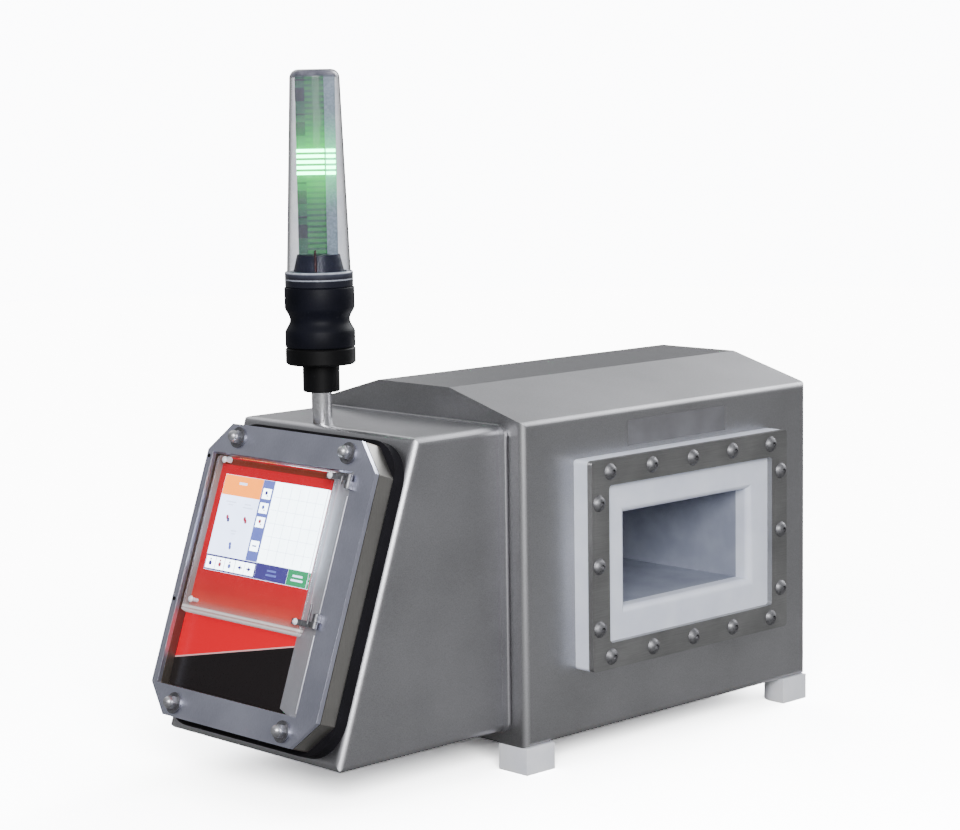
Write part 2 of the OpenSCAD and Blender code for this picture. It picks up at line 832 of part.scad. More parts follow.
module hinge_strip() {
    color([0.58, 0.58, 0.6]) on_face() difference() {
        intersection() {
            translate([0, window_y1, 0]) rotate([90, 0, 0]) linear_extrude(window_y1 - window_y0)
                polygon([[strip_x0, panel_front], [strip_x0 + strip_sheet, panel_front],
                    [window_x1, door_front - strip_sheet], [window_x1, door_front]]);
            recess();
        }
        translate([strip_x0 - cut, window_y0 - cut, panel_front - cut])
            linear_extrude(panel_recess + 2 * cut)
            polygon([[0, 0], [strip_notch_width + cut, 0], [strip_notch_width + cut, cut],
                [0, strip_notch_height + cut]]);
    }
}

// Hinge knuckles on the door, and the pins, arms and clear cover that turn in them
module knuckle(y) {
    color([0.6, 0.6, 0.62]) on_face() translate([window_x1, y, hinge_depth]) difference() {
        union() {
            rotate([-90, 0, 0]) cylinder(h = knuckle_length, d = hinge_eye);
            translate([0, 0, -hinge_lift]) cube([hinge_eye / 2, knuckle_length, hinge_lift]);
        }
        translate([0, -cut, 0]) rotate([-90, 0, 0])
            cylinder(h = knuckle_length + 2 * cut, d = hinge_pin + 2 * hinge_fit);
    }
}

module pin(y) {
    color([0.8, 0.8, 0.82]) on_face() translate([window_x1, y, hinge_depth]) rotate([-90, 0, 0])
        cylinder(h = arm_width + hinge_gap + knuckle_length + 2 * pin_stand, d = hinge_pin);
}

module arm(y, clip, way) {
    x0 = arm_x0 - window_x1;
    x1 = cover_x1 + arm_sheet - window_x1;
    d = cover_top - hinge_depth;
    color([0.72, 0.72, 0.74]) on_face() translate([window_x1, y, hinge_depth]) {
        difference() {
            union() {
                translate([0, -arm_width / 2, 0]) rotate([-90, 0, 0]) cylinder(h = arm_width, d = hinge_eye);
                translate([0, arm_width / 2, 0]) rotate([90, 0, 0]) linear_extrude(arm_width)
                    polygon([[x0, d], [x1, d], [-hinge_eye, -arm_sheet / 2], [0, -arm_sheet / 2],
                        [0, arm_sheet / 2], [-hinge_eye, arm_sheet / 2], [x1, d + arm_sheet],
                        [x0, d + arm_sheet]]);
            }
            translate([0, -arm_width / 2 - cut, 0]) rotate([-90, 0, 0])
                cylinder(h = arm_width + 2 * cut, d = hinge_pin + 2 * press_fit);
            translate([screw_x - window_x1, 0, d - cut])
                cylinder(h = arm_sheet + 2 * cut, d = cover_screw + 2 * press_fit);
        }
        translate([-hinge_eye - arm_clip, 0, arm_clip / 2]) rotate([-90 * way, 0, 0])
            cylinder(h = clip, d = arm_clip);
    }
}

// The cover's outer form moved inwards by d, with round corners and a round edge; its upper side
// moves upwards by reach
module cover_form(d, reach) {
    low = cover_back - 2 * cover_edge;
    y1 = cover_y1 + reach;
    across = [[cover_x0, low], [cover_x1, low], [cover_x1, cover_top], [cover_x0, cover_top]];
    upwards = [[cover_y0, low], [y1, low], [y1, cover_top], [cover_y0, cover_top]];
    intersection() {
        translate([(cover_x0 + cover_x1) / 2, (cover_y0 + y1) / 2, cover_back - d])
            linear_extrude(cover_top - cover_back + d)
            rounded_rectangle(cover_width - 2 * d, y1 - cover_y0 - 2 * d, cover_corner - d);
        translate([0, y1, 0]) rotate([90, 0, 0]) linear_extrude(y1 - cover_y0)
            rounded(inset(across, d), cover_edge - d);
        translate([cover_x0, 0, 0]) rotate([90, 0, 90]) linear_extrude(cover_width)
            rounded(inset(upwards, d), cover_edge - d);
    }
}

// A tray with three walls: its right wall clears the sloped strip, and it is open at the top,
// where the recess's upper wall leans over it
module clear_cover() {
    top = cover_top + cut;
    low = cover_back - cut;
    color([0.9, 0.93, 0.96, 0.4]) on_face() difference() {
        cover_form(0, 0);
        cover_form(cover_wall, 2 * cover_corner);
        translate([0, cover_y1 + cut, 0]) rotate([90, 0, 0]) linear_extrude(cover_height + 2 * cut)
            polygon([[strip_x0 - strip_gap, panel_front], [window_x1 - strip_gap, door_front],
                [window_x1 - strip_gap, panel_front]]);
        translate([cover_x0 - cut, 0, 0]) rotate([90, 0, 90]) linear_extrude(cover_width + 2 * cut)
            polygon([[wall_y(low) - cover_gap, low], [window_y1 + cut, low], [window_y1 + cut, top],
                [wall_y(top) - cover_gap, top]]);
        for (x = [bumper_x, screw_x], y = [lower_arm_y, upper_arm_y])
            translate([x, y, low]) cylinder(h = top - low, d = cover_screw + 2 * press_fit);
    }
}

module cover_bumpers() {
    color([0.9, 0.9, 0.92]) on_face() for (y = [lower_arm_y, upper_arm_y]) translate([bumper_x, y, 0]) {
        translate([0, 0, cover_top]) button_head(screw_head, screw_head_height);
        translate([0, 0, cover_back + bumper_lift])
            cylinder(h = cover_top - cover_back - bumper_lift, d = cover_screw);
    }
}

module cover_screws() {
    color([0.85, 0.86, 0.9]) on_face() for (y = [lower_arm_y, upper_arm_y])
        translate([screw_x, y, cover_top + arm_sheet]) {
            button_head(screw_head, screw_head_height);
            translate([0, 0, -arm_sheet - cover_wall - screw_end])
                cylinder(h = arm_sheet + cover_wall + screw_end, d = cover_screw);
        }
}

// Signal tower
module ring(r0, r1, h, bevel) {
    rotate_extrude()
        polygon([[r0, 0], [r1 - bevel, 0], [r1, bevel], [r1, h - bevel], [r1 - bevel, h], [r0, h]]);
}

module tower_tube() {
    color([0.78, 0.78, 0.8]) on_tower(box_top - tube_below) difference() {
        cylinder(h = tube_below + tube_length + tube_in_collar, d = tube_diameter);
        translate([0, 0, -cut]) cylinder(h = tube_below + tube_length + tube_in_collar + 2 * cut,
            d = tube_diameter - 2 * tube_wall);
    }
}

module tower_collar() {
    color([0.09, 0.09, 0.1]) on_tower(collar_z) difference() {
        ring(0, collar_diameter / 2, collar_height, edge_round / 2);
        translate([0, 0, -cut]) cylinder(h = tube_in_collar + cut, d = tube_diameter + 2 * press_fit);
        cylinder(h = collar_height + cut, d = tube_diameter - 2 * tube_wall);
    }
}

module tower_ring() {
    color([0.08, 0.08, 0.09]) on_tower(ring_z)
        ring((tube_diameter - 2 * tube_wall) / 2, housing_diameter / 2, ring_height, edge_round);
}

module tower_housing() {
    r = housing_diameter / 2;
    h = housing_height;
    color([0.1, 0.1, 0.15]) on_tower(housing_z) rotate_extrude() polygon([
        [housing_bore / 2, 0], [r, 0], [r, h * waist_low_share], [r - waist_depth, h * waist_middle_share],
        [r, h * waist_high_share], [r, h - edge_round], [r - edge_round, h], [housing_bore / 2, h]]);
}

module lens_collar() {
    color([0.85, 0.87, 0.9, 0.5]) on_tower(lens_collar_z)
        ring(light_base_foot / 2 + slip, lens_collar_diameter / 2, lens_collar_height, edge_round / 2);
}

module lens_profile(d) {
    low = 2 * lens_round;
    r1 = lens_top_diameter / 2;
    r0 = lens_foot_diameter / 2 + (lens_foot_diameter / 2 - r1) * low / lens_height;
    intersection() {
        rounded(inset([[-r0, -low], [r0, -low], [r1, lens_height], [-r1, lens_height]], d), lens_round - d);
        square([r0, lens_height]);
    }
}

module lens() {
    color([0.85, 0.88, 0.9, 0.35]) on_tower(lens_z) rotate_extrude() difference() {
        lens_profile(0);
        lens_profile(lens_wall);
    }
}

module light_base() {
    color([0.14, 0.14, 0.2]) on_tower(lens_collar_z) {
        cylinder(h = lens_collar_height, d = light_base_foot);
        translate([0, 0, lens_collar_height])
            cylinder(h = light_base_height, d1 = light_base_foot - 2 * edge_round, d2 = light_base_top);
    }
}

// The light column stands on its base and faces the machine's front left
module on_column() {
    on_tower(lens_z + light_base_height) rotate([0, 0, light_turn]) children();
}

module light_board() {
    color([0.1, 0.45, 0.25]) on_column() translate([-light_column / 2, -light_sheet / 2, 0])
        cube([light_column - guide_width, light_sheet, light_height]);
}

// Cuboids on both faces of the column, from x0 to x1, z0 to z1, seated at a distance from its middle
module on_both_faces(x0, x1, z0, z1, seat, depth) {
    for (y = [-seat - depth, seat]) translate([x0, y, z0]) cube([x1 - x0, depth, z1 - z0]);
}

// Bars across the column, one in each of its rows
module bars(first, last, x0, x1, seat, depth) {
    pitch = light_height / light_rows;
    half = light_bar_share * pitch / 2;
    for (i = [first : last])
        on_both_faces(x0, x1, (i + 0.5) * pitch - half, (i + 0.5) * pitch + half, seat, depth);
}

module light_segments() {
    x0 = block_width - light_column / 2;
    x1 = light_column / 2 - guide_width;
    color([0.15, 0.5, 0.3]) on_column() {
        bars(0, rows_below_lit - 1, x0, x1, light_sheet / 2, light_bar_depth);
        bars(rows_below_lit + lit_rows, light_rows - 1, x0, x1, light_sheet / 2, light_bar_depth);
    }
}

module lit_segments() {
    last = rows_below_lit + lit_rows - 1;
    x1 = light_column / 2 - guide_width;
    color([0.4, 1, 0.6]) on_column() {
        bars(rows_below_lit, last, -light_column / 2, x1 - guide_bar_inset, light_sheet / 2, lit_depth);
        bars(rows_below_lit, last, x1 + guide_bar_inset, light_column / 2 - guide_bar_inset,
            guide_width / 2, light_bar_depth);
    }
}

// Dark blocks and spacers between the lamp modules, beside the bars
module lamp_modules() {
    x0 = -light_column / 2;
    color([0.2, 0.22, 0.27]) on_column() for (i = [0 : block_count - 1]) if (i != lit_block) {
        z = block_low + i * block_pitch;
        on_both_faces(x0, x0 + block_width, z, z + block_length, light_sheet / 2, block_depth);
        on_both_faces(x0, x0 + block_width, z + spacer_rise, z + spacer_rise + spacer_length,
            light_sheet / 2, block_depth);
    }
}

module light_guide() {
    color([0.6, 0.62, 0.66]) on_column() translate([light_column / 2 - guide_width, 0, 0])
        linear_extrude(light_height) difference() {
            translate([0, -guide_width / 2]) square([guide_width, guide_width]);
            translate([guide_wall, guide_wall - guide_width / 2])
                square([guide_width - 2 * guide_wall, guide_width - 2 * guide_wall]);
        }
}

// Inside the control box: a plate on the end wall carries the supply, the board and the terminals
module on_plate() {
    in_place() translate([-neck_plate - sheet - mount_standoff, box_y, box_middle_z]) children();
}

module mounting_plate() {
    color([0.75, 0.76, 0.78]) on_plate() difference() {
        translate([-mount_sheet, -mount_width / 2, -mount_height / 2])
            cube([mount_sheet, mount_width, mount_height]);
        translate([-mount_sheet - cut, mount_hole_y, mount_hole_z]) rotate([0, 90, 0])
            cylinder(h = mount_sheet + 2 * cut, d = mount_hole);
    }
}

module standoffs() {
    color([0.8, 0.7, 0.4]) on_plate() {
        for (sy = [-1, 1], sz = [-1, 1]) translate([0, sy * (mount_width / 2 - part_margin),
            sz * (mount_height / 2 - part_margin)]) rotate([0, 90, 0])
            cylinder(h = mount_standoff, d = standoff);
        for (y = [standoff, board_size.y - standoff], z = [standoff, board_size.z - standoff])
            translate([-mount_sheet - standoff_height, y - board_size.y / 2,
                z + mount_height / 2 - part_margin - board_size.z])
            rotate([0, 90, 0]) cylinder(h = standoff_height, d = standoff);
    }
}

module power_supply() {
    color([0.7, 0.71, 0.73]) on_plate() translate([-mount_sheet - supply_size.x,
        part_margin - mount_width / 2, part_margin - mount_height / 2]) cube(supply_size);
}

module control_board() {
    color([0.1, 0.4, 0.2]) on_plate() translate([-mount_sheet - standoff_height - board_size.x,
        -board_size.y / 2, mount_height / 2 - part_margin - board_size.z]) cube(board_size);
}

module terminal_block() {
    color([0.75, 0.76, 0.6]) on_plate() translate([-mount_sheet - terminal_size.x,
        mount_width / 2 - part_margin - terminals * terminal_pitch, part_margin - mount_height / 2]) {
        for (i = [0 : terminals - 1]) translate([0, i * terminal_pitch, 0]) cube(terminal_size);
        translate([terminal_size.x / 2, 0, terminal_size.z / 4])
            cube([terminal_size.x / 2, terminals * terminal_pitch, terminal_size.z / 2]);
    }
}

head_case();
neck_flange();
control_box();
foot(0);  // front_left_foot
foot(1);  // front_right_foot
foot(2);  // rear_right_foot
foot(3);  // rear_left_foot
foot_screws();
aperture_liner();
coil_former();
coil(0);  // transmit_coil
coil(-1);  // front_receive_coil
coil(1);  // rear_receive_coil
flange_plate_piece(false);  // front_flange_plate
flange_plate_piece(true);  // rear_flange_plate
clamp_frame(false);  // front_clamp_frame
clamp_frame(true);  // rear_clamp_frame
bolts(false);  // front_frame_bolts
bolts(true);  // rear_frame_bolts
label_strip();
balance_board();
balance_board_standoffs();
door_seal();
door_pan();
door_plate();
door_studs();
door_washers();
cap_nuts();
printed_panel();
touch_glass();
lcd_module();
display_board();
hinge_strip();
knuckle(upper_knuckle_y);  // upper_knuckle
knuckle(lower_knuckle_y);  // lower_knuckle
pin(upper_knuckle_y - pin_stand);  // upper_hinge_pin
pin(lower_arm_y - arm_width / 2 - pin_stand);  // lower_hinge_pin
clear_cover();
arm(upper_arm_y, upper_clip, -1);  // upper_cover_arm
arm(lower_arm_y, lower_clip, 1);  // lower_cover_arm
cover_bumpers();
cover_screws();
tower_tube();
tower_collar();
tower_ring();
tower_housing();
lens_collar();
lens();
light_base();
light_board();
light_segments();
lit_segments();
lamp_modules();
light_guide();
cable_glands();
mounting_plate();
standoffs();
power_supply();
control_board();
terminal_block();
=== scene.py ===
"""Industrial metal detector: finishes, eased edges, screen picture, lamp column, studio and camera."""
import json
import math
import bpy
import bmesh
from mathutils import Matrix, Vector

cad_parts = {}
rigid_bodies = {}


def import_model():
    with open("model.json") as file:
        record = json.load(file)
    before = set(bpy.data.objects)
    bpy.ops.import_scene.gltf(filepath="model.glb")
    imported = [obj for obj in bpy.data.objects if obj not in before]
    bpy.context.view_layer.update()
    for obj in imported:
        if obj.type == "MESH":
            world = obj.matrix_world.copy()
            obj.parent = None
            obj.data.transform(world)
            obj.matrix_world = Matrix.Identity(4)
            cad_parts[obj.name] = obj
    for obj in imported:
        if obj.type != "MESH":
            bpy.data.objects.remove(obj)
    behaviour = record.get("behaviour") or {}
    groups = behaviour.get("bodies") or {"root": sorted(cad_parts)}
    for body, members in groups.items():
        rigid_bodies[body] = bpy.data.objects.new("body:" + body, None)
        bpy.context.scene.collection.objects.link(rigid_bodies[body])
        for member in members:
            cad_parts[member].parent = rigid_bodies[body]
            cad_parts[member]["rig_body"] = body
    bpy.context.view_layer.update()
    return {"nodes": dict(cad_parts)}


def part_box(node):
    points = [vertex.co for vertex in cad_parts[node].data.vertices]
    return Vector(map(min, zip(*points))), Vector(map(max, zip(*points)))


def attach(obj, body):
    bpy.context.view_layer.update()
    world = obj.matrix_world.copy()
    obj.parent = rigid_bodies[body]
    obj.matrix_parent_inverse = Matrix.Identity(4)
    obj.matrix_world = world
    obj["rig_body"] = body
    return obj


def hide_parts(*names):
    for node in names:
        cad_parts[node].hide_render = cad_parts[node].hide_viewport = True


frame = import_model()
nodes = frame["nodes"]

# The sloped face of the control box, in millimetres, as the drawing has it
MM = 0.001
BOX_FOOT_LENGTH = 231
BOX_TOP_LENGTH = 118
BOX_HEIGHT = 319
BOX_MIDDLE_Y = 4
BOX_UNDERSIDE_Z = 41
GLASS_DEPTH = 23
PLATE_DEPTH = 38
FACE_TILT = math.atan2(BOX_FOOT_LENGTH - BOX_TOP_LENGTH, BOX_HEIGHT)
FACE_FOOT = Vector((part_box("head_case")[0][0] - BOX_FOOT_LENGTH * MM, BOX_MIDDLE_Y * MM, BOX_UNDERSIDE_Z * MM))
ACROSS = Vector((0, -1, 0))
UP_SLOPE = Vector((math.sin(FACE_TILT), 0, math.cos(FACE_TILT)))
OUTWARDS = Vector((-math.cos(FACE_TILT), 0, math.sin(FACE_TILT)))
FACE_MATRIX = Matrix.Translation(FACE_FOOT) @ Matrix(
    (ACROSS, UP_SLOPE, OUTWARDS)).transposed().to_4x4() @ Matrix.Scale(MM, 4)


# Colour and node helpers
def linear(code):
    """An sRGB hex colour as linear values."""
    parts = [int(code[i:i + 2], 16) / 255 for i in (1, 3, 5)]
    return tuple(p / 12.92 if p <= 0.04045 else ((p + 0.055) / 1.055) ** 2.4 for p in parts) + (1.0,)


def grey(value):
    return (value, value, value, 1.0)


def connect(tree, node, inputs):
    """Sets or links a node's inputs, by name or number; a value may be a number, a socket or a node."""
    for key, value in inputs.items():
        socket = node.inputs[key] if isinstance(key, int) else next(
            s for s in node.inputs if s.enabled and s.name == key)
        if isinstance(value, bpy.types.Node):
            value = next(s for s in value.outputs if s.enabled)
        if isinstance(value, bpy.types.NodeSocket):
            tree.links.new(value, socket)
        else:
            socket.default_value = value


def add(tree, kind, inputs=None, stops=None, **settings):
    """Adds one node with its settings and links, and a colour ramp's stops."""
    node = tree.nodes.new(kind)
    for name, value in settings.items():
        setattr(node, name, value)
    if stops:
        while len(node.color_ramp.elements) < len(stops):
            node.color_ramp.elements.new(0.5)
        for element, (place, colour) in zip(node.color_ramp.elements, stops):
            element.position = place
            element.color = colour
    connect(tree, node, inputs or {})
    return node


def finish(name):
    """A new material with its node tree, its shader and the piece's own coordinates."""
    material = bpy.data.materials.new(name)
    material.use_nodes = True
    tree = material.node_tree
    place = add(tree, "ShaderNodeTexCoord").outputs["Object"]
    return material, tree, tree.nodes["Principled BSDF"], place


# How far the fine grains and scratches stand proud, in metres
RELIEF = 0.0002


# Bead-blasted 304 stainless: glass beads leave a fine even grain that greys the sheet and
# spreads its reflections. The grain is about 0.1 mm; it is drawn near 1 mm, as the picture shows it.
def blasted_stainless(name, dark, light, rough):
    material, tree, shader, place = finish(name)
    grain = add(tree, "ShaderNodeTexNoise", {"Vector": place, "Scale": 900.0, "Detail": 3.0, "Roughness": 0.75})
    cloud = add(tree, "ShaderNodeTexNoise", {"Vector": place, "Scale": 9.0, "Detail": 2.0, "Roughness": 0.5})
    blend = add(tree, "ShaderNodeMix", {"Factor": 0.6, "A": cloud, "B": grain})
    connect(tree, shader, {
        "Base Color": add(tree, "ShaderNodeValToRGB", {"Fac": blend}, [(0.36, linear(dark)), (0.64, linear(light))]),
        "Metallic": 1.0,
        "Roughness": add(tree, "ShaderNodeMapRange", {"Value": blend, "From Min": 0.3, "From Max": 0.7,
                                                      "To Min": rough + 0.04, "To Max": rough - 0.04}),
        "Normal": add(tree, "ShaderNodeBump", {"Height": grain, "Strength": 0.3, "Distance": RELIEF})})
    return material


# Belt-ground stainless: long fine scratches in one direction, about 0.05 mm apart, drawn near 0.4 mm.
def ground_stainless(name, dark, light, rough, turn, stretch):
    material, tree, shader, place = finish(name)
    turned = add(tree, "ShaderNodeMapping", {"Vector": place, "Rotation": turn, "Scale": stretch})
    lines = add(tree, "ShaderNodeTexNoise", {"Vector": turned, "Scale": 1.0, "Detail": 4.0, "Roughness": 0.65})
    cloud = add(tree, "ShaderNodeTexNoise", {"Vector": place, "Scale": 16.0, "Detail": 2.0})
    blend = add(tree, "ShaderNodeMix", {"Factor": 0.45, "A": cloud, "B": lines})
    connect(tree, shader, {
        "Base Color": add(tree, "ShaderNodeValToRGB", {"Fac": blend}, [(0.35, linear(dark)), (0.65, linear(light))]),
        "Metallic": 1.0,
        "Roughness": add(tree, "ShaderNodeMapRange", {"Value": lines, "From Min": 0.3, "From Max": 0.7,
                                                      "To Min": rough + 0.03, "To Max": rough - 0.03}),
        "Normal": add(tree, "ShaderNodeBump", {"Height": lines, "Strength": 0.07, "Distance": RELIEF})})
    return material


# Turned and tumbled metal of screws, nuts, tube and wire: even, with faint handling marks of 2 to 4 mm.
def tumbled_metal(name, dark, light, rough):
    material, tree, shader, place = finish(name)
    marks = add(tree, "ShaderNodeTexNoise", {"Vector": place, "Scale": 260.0, "Detail": 4.0})
    connect(tree, shader, {
        "Base Color": add(tree, "ShaderNodeValToRGB", {"Fac": marks}, [(0.35, linear(dark)), (0.65, linear(light))]),
        "Metallic": 1.0,
        "Roughness": add(tree, "ShaderNodeMapRange", {"Value": marks, "From Min": 0.3, "From Max": 0.7,
                                                      "To Min": rough + 0.06, "To Max": rough - 0.05})})
    return material


# Moulded or machined plastic: a soft mottle under the surface and a fine tooling grain on it.
def grained_plastic(name, dark, light, rough, grain_size, depth, gloss=0.5):
    material, tree, shader, place = finish(name)
    mottle = add(tree, "ShaderNodeTexNoise", {"Vector": place, "Scale": 30.0, "Detail": 3.0})
    grain = add(tree, "ShaderNodeTexNoise", {"Vector": place, "Scale": 1 / (grain_size * MM), "Detail": 2.0})
    connect(tree, shader, {
        "Base Color": add(tree, "ShaderNodeValToRGB", {"Fac": mottle},
                          [(0.35, linear(dark)), (0.65, linear(light))]),
        "Specular IOR Level": gloss,
        "Roughness": add(tree, "ShaderNodeMapRange", {"Value": grain, "From Min": 0.3, "From Max": 0.7,
                                                      "To Min": rough + 0.05, "To Max": rough - 0.05}),
        "Normal": add(tree, "ShaderNodeBump", {"Height": grain, "Strength": depth, "Distance": RELIEF})})
    return material


# How the scratches run: down the door's slope, or upright on the clamp frames
DOWN_THE_SLOPE = (0, -FACE_TILT, 0)
DOOR_SCRATCHES = (700, 2600, 40)
FRAME_SCRATCHES = (40, 700, 2400)

head_steel = blasted_stainless("bead-blasted stainless of the head", "#9a9a9c", "#b6b6b9", 0.38)
box_steel = blasted_stainless("bead-blasted stainless of the box", "#98989b", "#b6b6ba", 0.38)
door_steel = ground_stainless("ground stainless of the door", "#b8bacb", "#d6d8ea", 0.36,
                              DOWN_THE_SLOPE, DOOR_SCRATCHES)
strip_steel = ground_stainless("ground stainless of the strip", "#c0c1c8", "#cecfd6", 0.6,
                               DOWN_THE_SLOPE, DOOR_SCRATCHES)
pan_steel = ground_stainless("ground stainless of the pan", "#8c8a87", "#9a9895", 0.45,
                             DOWN_THE_SLOPE, DOOR_SCRATCHES)
frame_steel = ground_stainless("ground stainless of the clamp frames", "#8c8c8c", "#acacac", 0.36,
                               (0, 0, 0), FRAME_SCRATCHES)
# The recess in the pan is painted darker; its middle and half width, in millimetres
# Its brownish grey is painted shade and a painted reflection of the red film in the recess's walls.
RECESS_MIDDLE_Y, RECESS_HALF = 15, 113
pan_tree = pan_steel.node_tree
pan_shader = pan_tree.nodes["Principled BSDF"]
pan_axes = add(pan_tree, "ShaderNodeSeparateXYZ", {"Vector": add(pan_tree, "ShaderNodeTexCoord").outputs["Object"]})
pan_offset = add(pan_tree, "ShaderNodeMath", {0: pan_axes.outputs["Y"], 1: RECESS_MIDDLE_Y * MM},
                 operation="SUBTRACT")
pan_across = add(pan_tree, "ShaderNodeMath", {0: pan_offset}, operation="ABSOLUTE")
connect(pan_tree, pan_shader, {"Base Color": add(pan_tree, "ShaderNodeMix", {
    "Factor": add(pan_tree, "ShaderNodeMapRange", {
        "Value": pan_across, "From Min": (RECESS_HALF + 1) * MM, "From Max": (RECESS_HALF - 1) * MM}),
    "A": pan_shader.inputs["Base Color"].links[0].from_socket, "B": linear("#7a736c")}, data_type="RGBA")})
screw_steel = tumbled_metal("tumbled stainless of the screws", "#6a6a6d", "#88888b", 0.5)
nut_steel = tumbled_metal("tumbled stainless of the nuts", "#a6a6aa", "#c6c6ca", 0.36)
arm_steel = tumbled_metal("dull stainless of the hinge arms", "#66666a", "#86868a", 0.46)
washer_steel = tumbled_metal("dull stainless of the washers", "#6e6e73", "#8c8c91", 0.42)
tube_steel = tumbled_metal("polished stainless of the tube", "#d4d4d7", "#f2f2f4", 0.2)
zinc = tumbled_metal("zinc-plated sheet", "#a9adb2", "#c6cacf", 0.4)
brass = tumbled_metal("turned brass", "#b79858", "#d3b474", 0.3)
copper = tumbled_metal("enamelled copper wire", "#9a4a22", "#bc6a3a", 0.35)

# White acetal, machined: slightly cloudy under the surface, with a silky cut finish.
acetal = grained_plastic("machined white acetal", "#d6dbea", "#e0e5f2", 0.45, 1.1, 0.15)
# The liner is the same white acetal painted darker blue-grey: painted shade inside the tunnel.
shaded_liner_acetal = grained_plastic("acetal of the liner in painted shade", "#868b9c", "#9297a7", 0.5, 1.1, 0.1, 0.3)
feet_plastic = grained_plastic("sawn white polyethylene of the feet", "#e4e6ee", "#f1f2f7", 0.55, 1.4, 0.3)
for plastic in (acetal, feet_plastic):
    connect(plastic.node_tree, plastic.node_tree.nodes["Principled BSDF"], {
        "Subsurface Weight": 0.2, "Subsurface Radius": (0.004, 0.004, 0.005), "Subsurface Scale": 1.0})

# Sponge rubber: matt black with fine closed pores of about 0.5 mm.
sponge = grained_plastic("black sponge rubber", "#0e0d10", "#151419", 0.75, 0.6, 0.4, 0.12)
# Moulded polycarbonate housing: near-black with a blue cast and a spark-eroded grain.
housing_black = grained_plastic("grained navy-black polycarbonate", "#080910", "#0e0f18", 0.5, 0.7, 0.2, 0.1)
cone_grey = grained_plastic("smooth slate-grey polycarbonate", "#1e1f29", "#272833", 0.36, 0.9, 0.1, 0.16)
collar_black = grained_plastic("grained black nylon", "#060607", "#0b0b0d", 0.5, 0.7, 0.2, 0.12)
label_film = grained_plastic("satin grey label film", "#5c5c5f", "#656569", 0.5, 0.8, 0.1, 0.3)
laminate = grained_plastic("glass-filled laminate", "#a98d5c", "#bfa372", 0.55, 1.2, 0.3)
board_green = grained_plastic("solder-masked circuit board", "#0f4a28", "#1a6436", 0.3, 2.0, 0.2)
terminal_beige = grained_plastic("beige terminal nylon", "#b9b79b", "#c9c7ad", 0.5, 1.1, 0.2)
sleeve_red = grained_plastic("dark red sleeve", "#2a0a0e", "#3c1214", 0.5, 1.0, 0.2)


# Above the cover's foot its red is painted paler: a painted reflection of the light on the cover's pane.
# Screen-printed polyester on the door: red above, black below, a thin pale line between, under a smooth lacquer.
# Where the split meets the film's left edge and the strip: across from the middle, and up the slope.
FILM_LEFT, SPLIT_LEFT = 121.8, 76.0
FILM_RIGHT, SPLIT_RIGHT = 52.5, 112.1
# Heights up the slope, in millimetres: painted reflection strongest, faded out, and painted top shade starting
# From that last height the film's top is painted brown-red: painted shadow and reflection of the recess's top wall.
COVER_FOOT, REFLECTION_LOW, REFLECTION_HIGH, TOP_SHADE_START = 126, 128, 176, 282.5


def printed_film():
    material, tree, shader, place = finish("screen-printed polyester")
    turned = add(tree, "ShaderNodeMapping", {"Vector": place, "Rotation": (0, -FACE_TILT, 0)})
    axes = add(tree, "ShaderNodeSeparateXYZ", {"Vector": turned})
    foot = Matrix.Rotation(-FACE_TILT, 3, "Y") @ FACE_FOOT
    slope = (SPLIT_RIGHT - SPLIT_LEFT) / (FILM_RIGHT + FILM_LEFT)
    level = add(tree, "ShaderNodeMath", {0: axes.outputs["Y"], 1: slope, 2: axes.outputs["Z"]},
                operation="MULTIPLY_ADD")
    edge = foot.z + (SPLIT_LEFT + slope * FILM_LEFT) * MM + slope * foot.y
    above = add(tree, "ShaderNodeMath", {0: level, 1: edge}, operation="SUBTRACT")
    band = add(tree, "ShaderNodeMapRange", {"Value": above, "From Min": -0.0012, "From Max": 0.0012})
    line = add(tree, "ShaderNodeValToRGB", {"Fac": band}, [(0.0, grey(0)), (0.12, grey(0)), (0.3, grey(1)),
                                                          (0.7, grey(1)), (0.88, grey(0)), (1.0, grey(0))])
    fleck = add(tree, "ShaderNodeTexNoise", {"Vector": place, "Scale": 900.0, "Detail": 2.0})
    # Over the cover's foot the red is painted paler: a painted reflection on the cover's pane.
    rise = add(tree, "ShaderNodeMapRange", {"Value": axes.outputs["Z"], "From Min": foot.z + REFLECTION_LOW * MM,
                                            "From Max": foot.z + REFLECTION_HIGH * MM})
    fade = add(tree, "ShaderNodeValToRGB", {"Fac": rise}, [(0.0, linear("#ea5c4a")), (0.45, linear("#e42c2c")),
                                                          (1.0, linear("#ee0424"))])
    under = add(tree, "ShaderNodeMath", {0: axes.outputs["Z"], 1: foot.z + COVER_FOOT * MM},
                operation="GREATER_THAN")
    red = add(tree, "ShaderNodeMix", {"Factor": under, "A": linear("#ee0424"), "B": fade}, data_type="RGBA")
    # The film's top band is painted brown-red: painted shadow and reflection of the recess's top wall.
    painted_top_shade = add(tree, "ShaderNodeMath", {0: axes.outputs["Z"], 1: foot.z + TOP_SHADE_START * MM},
                 operation="GREATER_THAN")
    red = add(tree, "ShaderNodeMix", {"Factor": painted_top_shade, "A": red, "B": linear("#8c3420")}, data_type="RGBA")
    black = add(tree, "ShaderNodeValToRGB", {"Fac": fleck}, [(0.3, linear("#1a1718")), (0.7, linear("#211d1e"))])
    side = add(tree, "ShaderNodeMath", {0: above, 1: 0.0}, operation="GREATER_THAN")
    ground = add(tree, "ShaderNodeMix", {"Factor": side, "A": black, "B": red}, data_type="RGBA")
    connect(tree, shader, {
        "Base Color": add(tree, "ShaderNodeMix", {"Factor": line, "A": ground, "B": linear("#e8b6b4")},
                          data_type="RGBA"),
        "Roughness": add(tree, "ShaderNodeMapRange", {"Value": fleck, "From Min": 0.3, "From Max": 0.7,
                                                      "To Min": 0.34, "To Max": 0.26}),
        "Specular IOR Level": 0.1})
    return material


film = printed_film()
